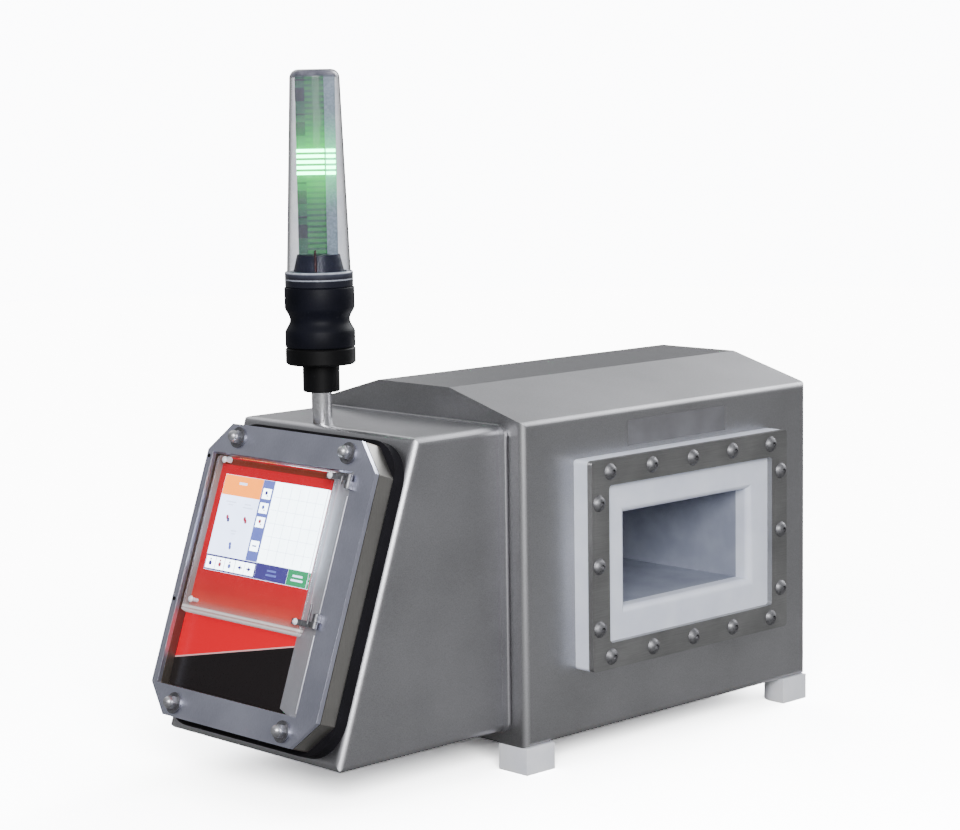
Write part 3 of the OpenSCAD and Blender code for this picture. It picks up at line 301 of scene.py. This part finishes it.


# Clear polycarbonate: water-clear, with faint swirl marks where it is wiped. Lamps shine through
# it without a caustic. Where it is thick or scuffed, a share of it looks like a second finish.
# Where it is thick, the callers draw a share of it as a second finish: painted highlights and painted reflection.
def clear_polycarbonate(name, tint, rough, mirror):
    material, tree, shader, place = finish(name)
    smear = add(tree, "ShaderNodeTexNoise", {"Vector": place, "Scale": 22.0, "Detail": 4.0, "Distortion": 1.5})
    connect(tree, shader, {
        "Base Color": add(tree, "ShaderNodeValToRGB", {"Fac": smear}, [(0.3, linear(tint)), (0.7, linear("#ffffff"))]),
        "Roughness": add(tree, "ShaderNodeMapRange", {"Value": smear, "From Min": 0.35, "From Max": 0.65,
                                                      "To Min": rough, "To Max": rough + 0.02}),
        "IOR": 1.585, "Transmission Weight": 1.0, "Specular Tint": grey(mirror)})
    return material, tree, shader, place


def let_lamps_through(tree, body, tint):
    """Lamps and scattered light pass straight through; the eye sees the body."""
    rays = add(tree, "ShaderNodeLightPath")
    lit = add(tree, "ShaderNodeMath", {0: rays.outputs["Is Shadow Ray"], 1: rays.outputs["Is Diffuse Ray"]},
              operation="MAXIMUM")
    clear = add(tree, "ShaderNodeBsdfTransparent", {"Color": linear(tint)})
    whole = add(tree, "ShaderNodeMixShader", {0: lit, 1: body, 2: clear})
    connect(tree, tree.nodes["Material Output"], {"Surface": whole})


# The cover's left wall is drawn milky grey where the moulded rim is thick; its foot has painted highlights.
# Where the wall stands across from the middle and the foot's heights up the slope, in millimetres.
COVER_WALL, COVER_RIM_LOW, COVER_RIM_HIGH = 116, 123, 139


def cover_polycarbonate():
    material, tree, shader, place = clear_polycarbonate("clear polycarbonate of the cover", "#f6f7f9", 0.015, 0.15)
    turned = add(tree, "ShaderNodeMapping", {"Vector": place, "Rotation": (0, -FACE_TILT, 0)})
    axes = add(tree, "ShaderNodeSeparateXYZ", {"Vector": turned})
    foot = Matrix.Rotation(-FACE_TILT, 3, "Y") @ FACE_FOOT
    side = add(tree, "ShaderNodeMapRange", {"Value": axes.outputs["Y"], "From Min": foot.y + (COVER_WALL - 0.5) * MM,
                                            "From Max": foot.y + (COVER_WALL + 0.5) * MM,
                                            "To Min": 0.0, "To Max": 0.7})
    rise = add(tree, "ShaderNodeMapRange", {"Value": axes.outputs["Z"], "From Min": foot.z + COVER_RIM_LOW * MM,
                                            "From Max": foot.z + COVER_RIM_HIGH * MM})
    low = add(tree, "ShaderNodeValToRGB", {"Fac": rise}, [
        (0.0, grey(0.95)), (0.2, grey(0.95)), (0.27, grey(0.3)), (0.36, grey(0.8)), (0.44, grey(0.75)),
        (0.52, grey(0.22)), (1.0, grey(0.0))])
    wall = add(tree, "ShaderNodeMath", {0: side, 1: low}, operation="MAXIMUM")
    # The foot's streaks are painted highlights, near-white where the lip catches the light; the wall stays milky grey.
    shade = add(tree, "ShaderNodeMix", {"Factor": low, "A": linear("#8c8682"), "B": linear("#f6f1f1")},
                data_type="RGBA")
    milky_wall_and_painted_highlights = add(tree, "ShaderNodeBsdfDiffuse", {"Color": shade})
    body = add(tree, "ShaderNodeMixShader", {0: wall, 1: shader, 2: milky_wall_and_painted_highlights})
    let_lamps_through(tree, body, "#f6f7f9")
    return material


# The lens ends in a thick cap, painted grey and glossy: a painted reflection of the dim room in its thick edge.
# It sets in between these two depths below the top, in millimetres.
CAP_START, CAP_FULL = 9, 5


def lens_polycarbonate():
    material, tree, shader, place = clear_polycarbonate("clear polycarbonate of the lens", "#eceef4", 0.02, 0.06)
    axes = add(tree, "ShaderNodeSeparateXYZ", {"Vector": place})
    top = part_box("lens")[1].z
    share = add(tree, "ShaderNodeMapRange", {"Value": axes.outputs["Z"], "From Min": top - CAP_START * MM,
                                             "From Max": top - CAP_FULL * MM, "To Min": 0.0, "To Max": 0.85})
    ripple = add(tree, "ShaderNodeTexNoise", {"Vector": place, "Scale": 160.0, "Detail": 2.0})
    # The cap's grey is painted reflection, mixed in over the clear lens.
    cap = add(tree, "ShaderNodeBsdfPrincipled", {
        "Base Color": add(tree, "ShaderNodeValToRGB", {"Fac": ripple}, [(0.35, linear("#4c4c58")),
                                                                      (0.65, linear("#6c6c78"))]),
        "Roughness": 0.18})
    body = add(tree, "ShaderNodeMixShader", {0: share, 1: shader, 2: cap})
    let_lamps_through(tree, body, "#eceef4")
    return material


# The clear ring under the lens is painted dark for the socket behind it, with painted highlights on its two rims.
def ring_polycarbonate():
    material, tree, shader, place = finish("clear polycarbonate of the lens ring")
    axes = add(tree, "ShaderNodeSeparateXYZ", {"Vector": place})
    low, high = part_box("lens_collar")
    rise = add(tree, "ShaderNodeMapRange", {"Value": axes.outputs["Z"], "From Min": low.z, "From Max": high.z})
    fleck = add(tree, "ShaderNodeTexNoise", {"Vector": place, "Scale": 200.0, "Detail": 3.0})
    dark, rim_highlight = linear("#1a1b24"), linear("#b4b8c6")
    bands = add(tree, "ShaderNodeValToRGB", {"Fac": rise}, [(0.0, dark), (0.44, dark), (0.5, rim_highlight), (0.57, dark),
                                                            (0.86, linear("#3c3e4a")), (0.94, rim_highlight)])
    connect(tree, shader, {
        "Base Color": add(tree, "ShaderNodeMix", {"Factor": add(tree, "ShaderNodeMapRange", {
            "Value": fleck, "From Min": 0.3, "From Max": 0.7, "To Min": 0.0, "To Max": 0.3}),
            "A": bands, "B": dark}, data_type="RGBA"),
        "Roughness": 0.2, "Specular IOR Level": 0.25})
    return material


cover_clear = cover_polycarbonate()
lens_clear = lens_polycarbonate()
ring_clear = ring_polycarbonate()


# The lit picture of the touch screen: each flat colour glows under the glass. Liquid-crystal cells
# are about 0.2 mm; the shade varies over a centimetre or two.
def lit_colour(name, code, strength):
    material, tree, shader, place = finish(name)
    shade = add(tree, "ShaderNodeTexNoise", {"Vector": place, "Scale": 60.0, "Detail": 2.0})
    colour = linear(code)
    dim = tuple(c * 0.94 for c in colour[:3]) + (1.0,)
    glow = add(tree, "ShaderNodeValToRGB", {"Fac": shade}, [(0.3, dim), (0.7, colour)])
    connect(tree, shader, {"Base Color": grey(0.02), "Roughness": 0.3, "Specular IOR Level": 0.3,
                           "Emission Color": glow, "Emission Strength": strength})
    return material


screen_white = lit_colour("lit white of the screen", "#e6f6ff", 9.0)
screen_pale = lit_colour("lit pale blue of the screen", "#cddcff", 6.0)
screen_orange = lit_colour("lit orange of the screen", "#ff8a0c", 4.0)
screen_blue = lit_colour("lit mid blue of the screen", "#7c8cff", 1.2)
screen_deep = lit_colour("lit deep blue of the screen", "#7966ff", 0.41)
screen_green = lit_colour("lit green of the screen", "#1cffa0", 0.6)
screen_red = lit_colour("lit red of the screen", "#ff3a66", 0.9)
screen_line = lit_colour("lit grey of the screen", "#c8d4f4", 4.5)

# Lamp column: the painted glow of the lit rows fades along the column within this reach, in millimetres.
GLOW_REACH = 45
lit_low, lit_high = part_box("lit_segments")
LIT_MIDDLE = (lit_low.z + lit_high.z) / 2
LIT_HALF = (lit_high.z - lit_low.z) / 2


def lamp_plastic(name, dark, light, glow_code, glow_far, glow_near, rough):
    """A part of the lamp column with a painted glow: emission that grows the nearer it is to the lit rows."""
    material, tree, shader, place = finish(name)
    cells = add(tree, "ShaderNodeTexVoronoi", {"Vector": place, "Scale": 420.0}, feature="F1")
    axes = add(tree, "ShaderNodeSeparateXYZ", {"Vector": place})
    offset = add(tree, "ShaderNodeMath", {0: axes.outputs["Z"], 1: LIT_MIDDLE}, operation="SUBTRACT")
    away = add(tree, "ShaderNodeMath", {0: offset}, operation="ABSOLUTE")
    near = add(tree, "ShaderNodeMapRange", {"Value": away, "From Min": LIT_HALF,
                                            "From Max": LIT_HALF + GLOW_REACH * MM,
                                            "To Min": 1.0, "To Max": 0.0})
    close = add(tree, "ShaderNodeMath", {0: near, 1: 2.0}, operation="POWER")
    strength = add(tree, "ShaderNodeMapRange", {"Value": close, "To Min": glow_far, "To Max": glow_near})
    connect(tree, shader, {
        "Base Color": add(tree, "ShaderNodeValToRGB", {"Fac": cells.outputs["Distance"]},
                          [(0.2, linear(light)), (0.8, linear(dark))]),
        "Roughness": rough, "Emission Color": linear(glow_code), "Emission Strength": strength})
    return material


lamp_green = lamp_plastic("green lamp bars", "#04301a", "#0a4c28", "#00ff50", 0.13, 1.15, 0.45)
lamp_board = lamp_plastic("solder-masked lamp board", "#0e2c24", "#163e34", "#00ff50", 0.035, 1.0, 0.45)
lamp_dark = lamp_plastic("slate-grey lamp modules", "#12161c", "#1c222a", "#00ff50", 0.0, 0.6, 0.5)
lamp_smoke = lamp_plastic("smoked light guide", "#5c6872", "#76838c", "#10ff78", 0.01, 1.0, 0.4)
lamp_lit = lit_colour("lit green lamp", "#50ff9c", 26.0)

FINISHES = {
    head_steel: ["head_case"],
    box_steel: ["control_box", "neck_flange"],
    door_steel: ["door_plate"],
    pan_steel: ["door_pan"],
    strip_steel: ["hinge_strip"],
    frame_steel: ["front_clamp_frame", "rear_clamp_frame"],
    screw_steel: ["front_frame_bolts", "rear_frame_bolts", "foot_screws", "door_studs"],
    washer_steel: ["door_washers"],
    nut_steel: ["cap_nuts"],
    arm_steel: ["upper_cover_arm", "lower_cover_arm", "upper_hinge_pin", "lower_hinge_pin", "upper_knuckle",
                "lower_knuckle"],
    tube_steel: ["tower_tube"],
    acetal: ["front_flange_plate", "rear_flange_plate"],
    shaded_liner_acetal: ["aperture_liner"],
    feet_plastic: ["front_left_foot", "front_right_foot", "rear_right_foot", "rear_left_foot",
                   "cover_bumpers", "cover_screws"],
    sponge: ["door_seal"],
    housing_black: ["tower_housing"],
    cone_grey: ["light_base"],
    collar_black: ["tower_collar", "tower_ring", "cable_glands"],
    label_film: ["label_strip"],
    film: ["printed_panel"],
    screen_pale: ["touch_glass"],
    cover_clear: ["clear_cover"],
    lens_clear: ["lens"],
    ring_clear: ["lens_collar"],
    lamp_green: ["light_segments"],
    lamp_board: ["light_board"],
    lamp_dark: ["lamp_modules"],
    lamp_lit: ["lit_segments"],
    lamp_smoke: ["light_guide"],
    board_green: ["balance_board", "display_board", "control_board"],
    laminate: ["coil_former"],
    copper: ["transmit_coil", "front_receive_coil", "rear_receive_coil"],
    brass: ["standoffs", "balance_board_standoffs"],
    zinc: ["mounting_plate", "power_supply", "lcd_module"],
    terminal_beige: ["terminal_block"],
}
finish_of = {name: material for material, names in FINISHES.items() for name in names}
for name, material in finish_of.items():
    for slot in nodes[name].material_slots:
        slot.material = material


# Modelling helpers: a face counts as an end where its normal is this near to the axis
END_ON = 0.9
WELD = 0.000002
FLAT_ANGLE, SHARP_ANGLE, SMOOTH_ANGLE = math.radians(0.5), math.radians(30), math.radians(38)
EASED_STEPS = 2


def deselect():
    bpy.ops.object.select_all(action="DESELECT")


def select_faces(piece, wanted):
    """Selects the faces, in edit mode, whose centre and normal pass the test."""
    mesh = bmesh.from_edit_mesh(piece.data)
    for face in mesh.faces:
        face.select_set(bool(wanted(face.calc_center_median(), face.normal)))
    bmesh.update_edit_mesh(piece.data)


def settle(piece, matrix, material):
    """Bakes the piece's place into its mesh and gives it its finish."""
    piece.data.transform(matrix @ piece.matrix_world)
    piece.matrix_world = Matrix.Identity(4)
    piece.data.materials.clear()
    piece.data.materials.append(material)


def joined(name, pieces, body):
    """Joins pieces into one object that rides on a body."""
    deselect()
    for piece in pieces:
        piece.select_set(True)
    bpy.context.view_layer.objects.active = pieces[0]
    if len(pieces) > 1:
        bpy.ops.object.join()
    whole = bpy.context.object
    whole.name = name
    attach(whole, body)
    return whole


def eased(name, width):
    """Stands in for a CAD piece with a copy whose sharp edges are eased by a width in millimetres."""
    source = nodes[name]
    deselect()
    piece = bpy.data.objects.new(name + "_eased", source.data.copy())
    bpy.context.collection.objects.link(piece)
    piece.select_set(True)
    bpy.context.view_layer.objects.active = piece
    bpy.ops.mesh.customdata_custom_splitnormals_clear()
    bpy.ops.object.mode_set(mode="EDIT")
    bpy.ops.mesh.select_all(action="SELECT")
    bpy.ops.mesh.remove_doubles(threshold=WELD)
    bpy.ops.mesh.dissolve_limited(angle_limit=FLAT_ANGLE)
    bpy.ops.object.mode_set(mode="OBJECT")
    edge = piece.modifiers.new("eased edges", "BEVEL")
    edge.width = width * MM
    edge.segments = EASED_STEPS
    edge.limit_method = "ANGLE"
    edge.angle_limit = SHARP_ANGLE
    bpy.ops.object.modifier_apply(modifier=edge.name)
    bpy.ops.object.shade_smooth_by_angle(angle=SMOOTH_ANGLE)
    even = piece.modifiers.new("even shading of flat faces", "WEIGHTED_NORMAL")
    even.keep_sharp = True
    bpy.ops.object.modifier_apply(modifier=even.name)
    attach(piece, source["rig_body"])
    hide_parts(name)


for name, width in (("door_pan", 0.7), ("door_plate", 0.9), ("hinge_strip", 0.8), ("front_clamp_frame", 0.7),
                    ("rear_clamp_frame", 0.7), ("front_flange_plate", 1.2), ("rear_flange_plate", 1.2),
                    ("aperture_liner", 0.8), ("front_left_foot", 1.2), ("front_right_foot", 1.2),
                    ("rear_right_foot", 1.2), ("rear_left_foot", 1.2),
                    ("upper_knuckle", 0.4), ("lower_knuckle", 0.4), ("head_case", 2.2), ("control_box", 2.2)):
    eased(name, width)


def tile(name, u0, u1, v0, v1, depth, thick, material, bevel=0.3):
    """A thin raised tile on the sloped face, with its rim rounded over; sizes in millimetres."""
    deselect()
    bpy.ops.mesh.primitive_cube_add(size=1, location=((u0 + u1) / 2, (v0 + v1) / 2, depth + thick / 2))
    piece = bpy.context.object
    piece.name = name
    piece.scale = (u1 - u0, v1 - v0, thick)
    bpy.ops.object.transform_apply(location=True, scale=True)
    bpy.ops.object.mode_set(mode="EDIT")
    select_faces(piece, lambda centre, normal: normal.z > END_ON)
    bpy.ops.mesh.bevel(offset=min(bevel, thick * 0.6), segments=2, affect="EDGES")
    bpy.ops.object.mode_set(mode="OBJECT")
    settle(piece, FACE_MATRIX, material)
    return piece


def token(name, sides, radius, u, v, turn, depth, thick, material, squeeze=1.0):
    """A small flat sign with round or pointed sides, such as a dot or an arrow head."""
    deselect()
    bpy.ops.mesh.primitive_cylinder_add(vertices=sides, radius=radius, depth=thick,
                                        location=(u, v, depth + thick / 2), rotation=(0, 0, math.radians(turn)))
    piece = bpy.context.object
    piece.name = name
    piece.scale = (1, squeeze, 1)
    bpy.ops.object.transform_apply(location=True, rotation=True, scale=True)
    bpy.ops.object.mode_set(mode="EDIT")
    select_faces(piece, lambda centre, normal: normal.z > END_ON)
    bpy.ops.mesh.inset(thickness=radius * 0.12)
    bpy.ops.object.mode_set(mode="OBJECT")
    settle(piece, FACE_MATRIX, material)
    return piece


# The screen's picture in three thin layers: plain blocks, buttons, a graph and generic signs
LAYER = 0.14
GRID_STEP = 13.6
first, second, third = (GLASS_DEPTH + k * LAYER for k in range(3))
parts = [
    tile("status_block", -108.7, -46.8, 251, 272.2, first, LAYER, screen_orange),
    tile("readings", -108.7, -46.8, 187.8, 250.6, first, LAYER, screen_pale),
    tile("tool_column", -46.6, -28.4, 187.8, 272.2, first, LAYER, screen_blue),
    tile("graph", -28.0, 53.7, 188.0, 272.2, first, LAYER, screen_white),
    tile("button_row", -108.7, -27.4, 171.2, 187.4, first, LAYER, screen_deep),
    tile("wide_button", -27.2, 22.6, 171.2, 187.6, first, LAYER, screen_deep),
    tile("corner_button", 22.9, 53.7, 171.2, 187.6, first, LAYER, screen_green),
    tile("status_bar", -84.0, -71.5, 263.2, 265.8, second, LAYER, screen_line),
]
for v in (252.9, 237.9, 223.1, 198.2):
    parts.append(tile("tool_button", -44.2, -31.0, v, v + 10.8, second, LAYER, screen_white))
for u, width in ((-107.4, 15.0), (-91.6, 13.8), (-77.0, 16.0), (-60.2, 15.0), (-44.6, 15.4)):
    parts.append(tile("row_button", u, u + width, 172.8, 185.4, second, LAYER, screen_white))
for v, material in ((258.3, screen_deep), (243.3, screen_blue), (228.5, screen_red)):
    parts.append(token("lens_sign", 20, 2.1, -38.2, v + 0.9, 0, third, LAYER, material))
    parts.append(tile("lens_handle", -36.9, -34.9, v - 2.6, v - 1.4, third, LAYER, material, 0.1))
parts.append(tile("level_sign", -41.0, -34.2, 202.8, 204.4, third, LAYER, screen_blue, 0.1))
for u, v, material in ((-90.6, 228.2, screen_red), (-88.4, 225.4, screen_deep), (-62.6, 229.0, screen_red),
                       (-60.6, 226.6, screen_red), (-76.2, 200.8, screen_blue), (-75.4, 197.6, screen_blue)):
    parts.append(token("reading_sign", 8, 2.0, u, v, 22, second, LAYER, material, 1.25))
for u0, u1, v in ((-98.0, -82.0, 243.6), (-94.0, -86.0, 240.6), (-68.0, -58.0, 243.2), (-70.0, -54.0, 239.8),
                  (-80.0, -71.0, 214.2), (-78.5, -72.5, 211.2)):
    parts.append(tile("reading_bar", u0, u1, v, v + 1.3, second, LAYER, screen_line, 0.1))
for u, material in ((-100.2, screen_deep), (-84.6, screen_red), (-69.0, screen_blue)):
    parts.append(token("row_sign", 6, 2.6, u, 178.4, 30, third, LAYER, material))
    parts.append(token("row_dot", 16, 1.1, u, 182.4, 0, third, LAYER, material))
for u, turn in ((-52.4, 90), (-37.2, -90)):
    parts.append(token("arrow_head", 3, 3.0, u, 179.0, turn, third, LAYER, screen_deep))
    parts.append(tile("arrow_tail", u + (0.2 if turn > 0 else -4.0), u + (4.0 if turn > 0 else -0.2), 178.2, 179.8,
                      third, LAYER, screen_deep, 0.1))
for u0, u1, v, material in ((-9.0, 5.0, 180.6, screen_blue), (-10.0, 6.5, 176.2, screen_blue),
                            (31.0, 46.0, 180.6, screen_line), (29.5, 47.5, 176.2, screen_line)):
    parts.append(tile("button_bar", u0, u1, v, v + 2.0, second, LAYER, material, 0.1))
for k in range(5):
    u = -14.5 + GRID_STEP * k
    parts.append(tile("grid_line", u, u + 0.4, 190.5, 269.0, second, LAYER, screen_line, 0.05))
for k in range(5):
    v = 202.0 + GRID_STEP * k
    parts.append(tile("grid_line", -26.5, 52.5, v, v + 0.4, second, LAYER, screen_line, 0.05))
joined("screen_picture", parts, "machine")


# Two countersunk screws in the plate's left border: a turned head with a hexagon socket
def plate_screw(u, v):
    deselect()
    bpy.ops.mesh.primitive_cylinder_add(vertices=24, radius=2.0, depth=0.6, location=(u, v, PLATE_DEPTH + 0.15))
    piece = bpy.context.object
    bpy.ops.object.transform_apply(location=True)
    bpy.ops.object.mode_set(mode="EDIT")
    select_faces(piece, lambda centre, normal: normal.z > END_ON)
    bpy.ops.mesh.inset(thickness=0.9)
    bpy.ops.transform.translate(value=(0, 0, -0.35))
    bpy.ops.object.mode_set(mode="OBJECT")
    settle(piece, FACE_MATRIX, sponge)
    return piece


joined("plate_screws", [plate_screw(-127, 134), plate_screw(-127, 287)], "machine")


# Rolled bead along the fold where the strip meets the plate, between the two knuckles and below them
STRIP_FOLD = 98.4


def fold_bead(v0, v1):
    deselect()
    bpy.ops.mesh.primitive_cylinder_add(vertices=12, radius=1.0, depth=v1 - v0, rotation=(math.pi / 2, 0, 0),
                                        location=(STRIP_FOLD, (v0 + v1) / 2, PLATE_DEPTH - 0.5))
    piece = bpy.context.object
    bpy.ops.object.transform_apply(location=True, rotation=True)
    bpy.ops.object.mode_set(mode="EDIT")
    select_faces(piece, lambda centre, normal: abs(normal.y) > END_ON)
    bpy.ops.mesh.bevel(offset=0.4, segments=2, affect="EDGES")
    bpy.ops.object.mode_set(mode="OBJECT")
    bpy.ops.object.shade_smooth_by_angle(angle=math.radians(40))
    settle(piece, FACE_MATRIX, strip_steel)
    return piece


joined("strip_fold_beads", [fold_bead(50, 128), fold_bead(149, 268)], "machine")

# Waisted housing of the tower, turned from a cylinder: rings are cut in and drawn towards the middle
low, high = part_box("tower_housing")
centre = (low + high) / 2
wide, tall = (high.x - low.x) / 2, high.z - low.z
deselect()
bpy.ops.mesh.primitive_cylinder_add(vertices=72, radius=wide, depth=tall, location=centre)
housing = bpy.context.object
bpy.ops.object.transform_apply(location=True)
bpy.ops.object.mode_set(mode="EDIT")
WAIST_LOW, WAIST_HIGH, WAIST_DEPTH, WAIST_ROUNDNESS, RINGS = 0.25, 0.66, 5.2 * MM, 1.5, 12
levels = [low.z + tall * (WAIST_LOW + (WAIST_HIGH - WAIST_LOW) * k / RINGS) for k in range(RINGS + 1)]
for level in levels:
    bpy.ops.mesh.select_all(action="SELECT")
    bpy.ops.mesh.bisect(plane_co=(centre.x, centre.y, level), plane_no=(0, 0, 1))
bpy.ops.mesh.select_mode(type="VERT")
for k, level in enumerate(levels):
    bpy.ops.mesh.select_all(action="DESELECT")
    mesh = bmesh.from_edit_mesh(housing.data)
    for vertex in mesh.verts:
        vertex.select_set(abs(vertex.co.z - level) < 0.05 * MM)
    bmesh.update_edit_mesh(housing.data)
    drawn = 1 - WAIST_DEPTH / wide * math.sin(math.pi * k / RINGS) ** WAIST_ROUNDNESS
    bpy.ops.transform.resize(value=(drawn, drawn, 1), center_override=(centre.x, centre.y, level))
bpy.ops.mesh.select_mode(type="FACE")
select_faces(housing, lambda centre, normal: abs(normal.z) > END_ON)
bpy.ops.mesh.bevel(offset=1.0 * MM, segments=2, affect="EDGES")
bpy.ops.object.mode_set(mode="OBJECT")
bpy.ops.object.shade_smooth_by_angle(angle=math.radians(50))
settle(housing, Matrix.Identity(4), housing_black)
joined("waisted_housing", [housing], "machine")
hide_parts("tower_housing")

# Dark red sleeve of the lamp's lead, up the side of the cone that faces the door; millimetres and degrees
SLEEVE_RADIUS, SLEEVE_LENGTH, SLEEVE_LEAN, SLEEVE_BEARING = 1.1, 38, 8, 47
SLEEVE_AWAY, SLEEVE_RISE = 26.4, 20
base_low, base_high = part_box("light_base")
middle = (base_low + base_high) / 2
towards = Vector((-math.sin(math.radians(SLEEVE_BEARING)), -math.cos(math.radians(SLEEVE_BEARING)), 0))
deselect()
bpy.ops.mesh.primitive_cylinder_add(vertices=12, radius=SLEEVE_RADIUS * MM, depth=SLEEVE_LENGTH * MM)
sleeve = bpy.context.object
bpy.ops.object.mode_set(mode="EDIT")
select_faces(sleeve, lambda centre, normal: abs(normal.z) > END_ON)
bpy.ops.mesh.bevel(offset=0.5 * MM, segments=2, affect="EDGES")
bpy.ops.object.mode_set(mode="OBJECT")
lean = Matrix.Rotation(math.radians(SLEEVE_LEAN), 4, towards.cross(Vector((0, 0, -1))))
seat = middle + towards * SLEEVE_AWAY * MM
seat.z = base_low.z + SLEEVE_RISE * MM
settle(sleeve, Matrix.Translation(seat) @ lean, sleeve_red)
joined("lamp_lead_sleeve", [sleeve], "machine")

# Studio: a pale floor that fades into a white room, and soft lamps. The machine mirrors a dimmer
# room than the one that the camera sees, as in a studio with dark walls behind the camera.
ROOM_WHITE = 12.0
FLOOR_RADIUS, FLOOR_FADE_START, FLOOR_FADE_END = 6, 0.45, 1.3
deselect()
bpy.ops.mesh.primitive_circle_add(vertices=96, radius=FLOOR_RADIUS, fill_type="NGON", location=(0, 0, 0))
floor = bpy.context.object
floor.name = "studio_floor"
material, tree, shader, place = finish("plain pale floor")
tree.nodes.remove(shader)
mottle = add(tree, "ShaderNodeTexNoise", {"Vector": place, "Scale": 3.0})
seen = add(tree, "ShaderNodeBsdfDiffuse", {"Color": add(tree, "ShaderNodeValToRGB", {"Fac": mottle}, [
    (0.3, grey(8.0)), (0.7, grey(8.4))])})
white = add(tree, "ShaderNodeEmission", {"Color": grey(1.0), "Strength": ROOM_WHITE})
reach = add(tree, "ShaderNodeVectorMath", {0: place}, operation="LENGTH")
fade = add(tree, "ShaderNodeMapRange", {"Value": reach, "From Min": FLOOR_FADE_START,
                                        "From Max": FLOOR_FADE_END}, interpolation_type="SMOOTHSTEP")
pale = add(tree, "ShaderNodeMixShader", {0: fade, 1: seen, 2: white})
dull = add(tree, "ShaderNodeBsdfDiffuse", {"Color": grey(0.25)})
rays = add(tree, "ShaderNodeLightPath")
whole = add(tree, "ShaderNodeMixShader", {0: rays.outputs["Is Camera Ray"], 1: dull, 2: pale})
connect(tree, tree.nodes["Material Output"], {"Surface": whole})
floor.data.materials.append(material)

world = bpy.data.worlds.new("studio room")
bpy.context.scene.world = world
world.use_nodes = True
tree = world.node_tree
way = add(tree, "ShaderNodeTexCoord").outputs["Generated"]
height = add(tree, "ShaderNodeSeparateXYZ", {"Vector": way}).outputs["Z"]
light = add(tree, "ShaderNodeMapRange", {"Value": height, "From Min": 0.0, "From Max": 1.0,
                                         "To Min": 0.32, "To Max": 0.86})
# Soft white reflectors and dark screens: where they stand, how bright they are and how narrow
for towards, bright, narrow in (((0.89, 0.12, 0.44), 4.6, 22.0), ((0.9, 0.11, 0.43), 9.0, 60.0),
                                ((0.0, 0.99, 0.14), 0.3, 14.0), ((-0.62, -0.76, 0.2), 0.5, 14.0),
                                ((0.7, -0.32, 0.64), 3.4, 60.0), ((0.3, 0.75, 0.58), 1.7, 20.0),
                                ((-0.5, 0.86, 0.1), -0.18, 3.0), ((0.66, 0.72, 0.2), -0.34, 8.0),
                                ((0.6, 0.7, 0.4), -0.32, 10.0)):
    facing = add(tree, "ShaderNodeVectorMath", {0: way, 1: towards}, operation="DOT_PRODUCT")
    ahead = add(tree, "ShaderNodeMath", {0: facing, 1: 0.0}, operation="MAXIMUM")
    lobe = add(tree, "ShaderNodeMath", {0: ahead, 1: narrow}, operation="POWER")
    light = add(tree, "ShaderNodeMath", {0: lobe, 1: bright, 2: light}, operation="MULTIPLY_ADD")
rays = add(tree, "ShaderNodeLightPath")
# Glass that is looked straight through shows the bright room; its inner mirror images do not
mirrored = add(tree, "ShaderNodeMath", {0: rays.outputs["Glossy Depth"], 1: 0.5}, operation="LESS_THAN")
bright = add(tree, "ShaderNodeMath", {0: mirrored, 1: rays.outputs["Is Transmission Ray"]}, operation="MULTIPLY")
through = add(tree, "ShaderNodeMix", {"Factor": bright, "A": light, "B": 1.3})
connect(tree, tree.nodes["Background"], {
    "Color": (0.97, 0.98, 1.0, 1.0),
    "Strength": add(tree, "ShaderNodeMix", {"Factor": rays.outputs["Is Camera Ray"], "A": through,
                                            "B": ROOM_WHITE})})


def soft_lamp(name, place, target, size, power):
    lamp = bpy.data.lights.new(name, "AREA")
    lamp.shape = "RECTANGLE"
    lamp.size, lamp.size_y = size
    lamp.energy = power
    holder = bpy.data.objects.new(name, lamp)
    bpy.context.collection.objects.link(holder)
    holder.location = place
    holder.rotation_euler = (Vector(target) - Vector(place)).to_track_quat("-Z", "Y").to_euler()


MIDDLE = (0, 0, 0.2)
soft_lamp("key lamp", (-1.6, -1.9, 1.25), MIDDLE, (1.3, 1.1), 85)
soft_lamp("back lamp", (0.9, 2.2, 1.6), MIDDLE, (1.6, 1.0), 6)

# Camera: fitted to the photograph's straight edges, and placed from the head's front left foot corner
SENSOR, PICTURE_WIDTH, FOCAL_PIXELS = 36, 960, 2538.26
HEAD_FRONT_Y, HEAD_UNDERSIDE_Z = -0.162, 0.028
AZIMUTH, ELEVATION, ROLL = (math.radians(a) for a in (-44.0816, 7.4698, -0.8648))
back = Vector((math.sin(AZIMUTH) * math.cos(ELEVATION), -math.cos(AZIMUTH) * math.cos(ELEVATION),
               math.sin(ELEVATION)))
level_right = Vector((math.cos(AZIMUTH), math.sin(AZIMUTH), 0))
level_up = back.cross(level_right)
right = level_right * math.cos(ROLL) + level_up * math.sin(ROLL)
up = level_up * math.cos(ROLL) - level_right * math.sin(ROLL)
lens = bpy.data.cameras.new("photograph's view")
lens.sensor_width = SENSOR
lens.lens = FOCAL_PIXELS * SENSOR / PICTURE_WIDTH
lens.clip_end = 50
camera = bpy.data.objects.new("photograph's view", lens)
bpy.context.collection.objects.link(camera)
place = Vector((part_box("head_case")[0][0] - 1.7937, HEAD_FRONT_Y - 1.7905, HEAD_UNDERSIDE_Z + 0.6788))
camera.matrix_world = Matrix.Translation(place) @ Matrix((right, up, back)).transposed().to_4x4()
bpy.context.scene.camera = camera
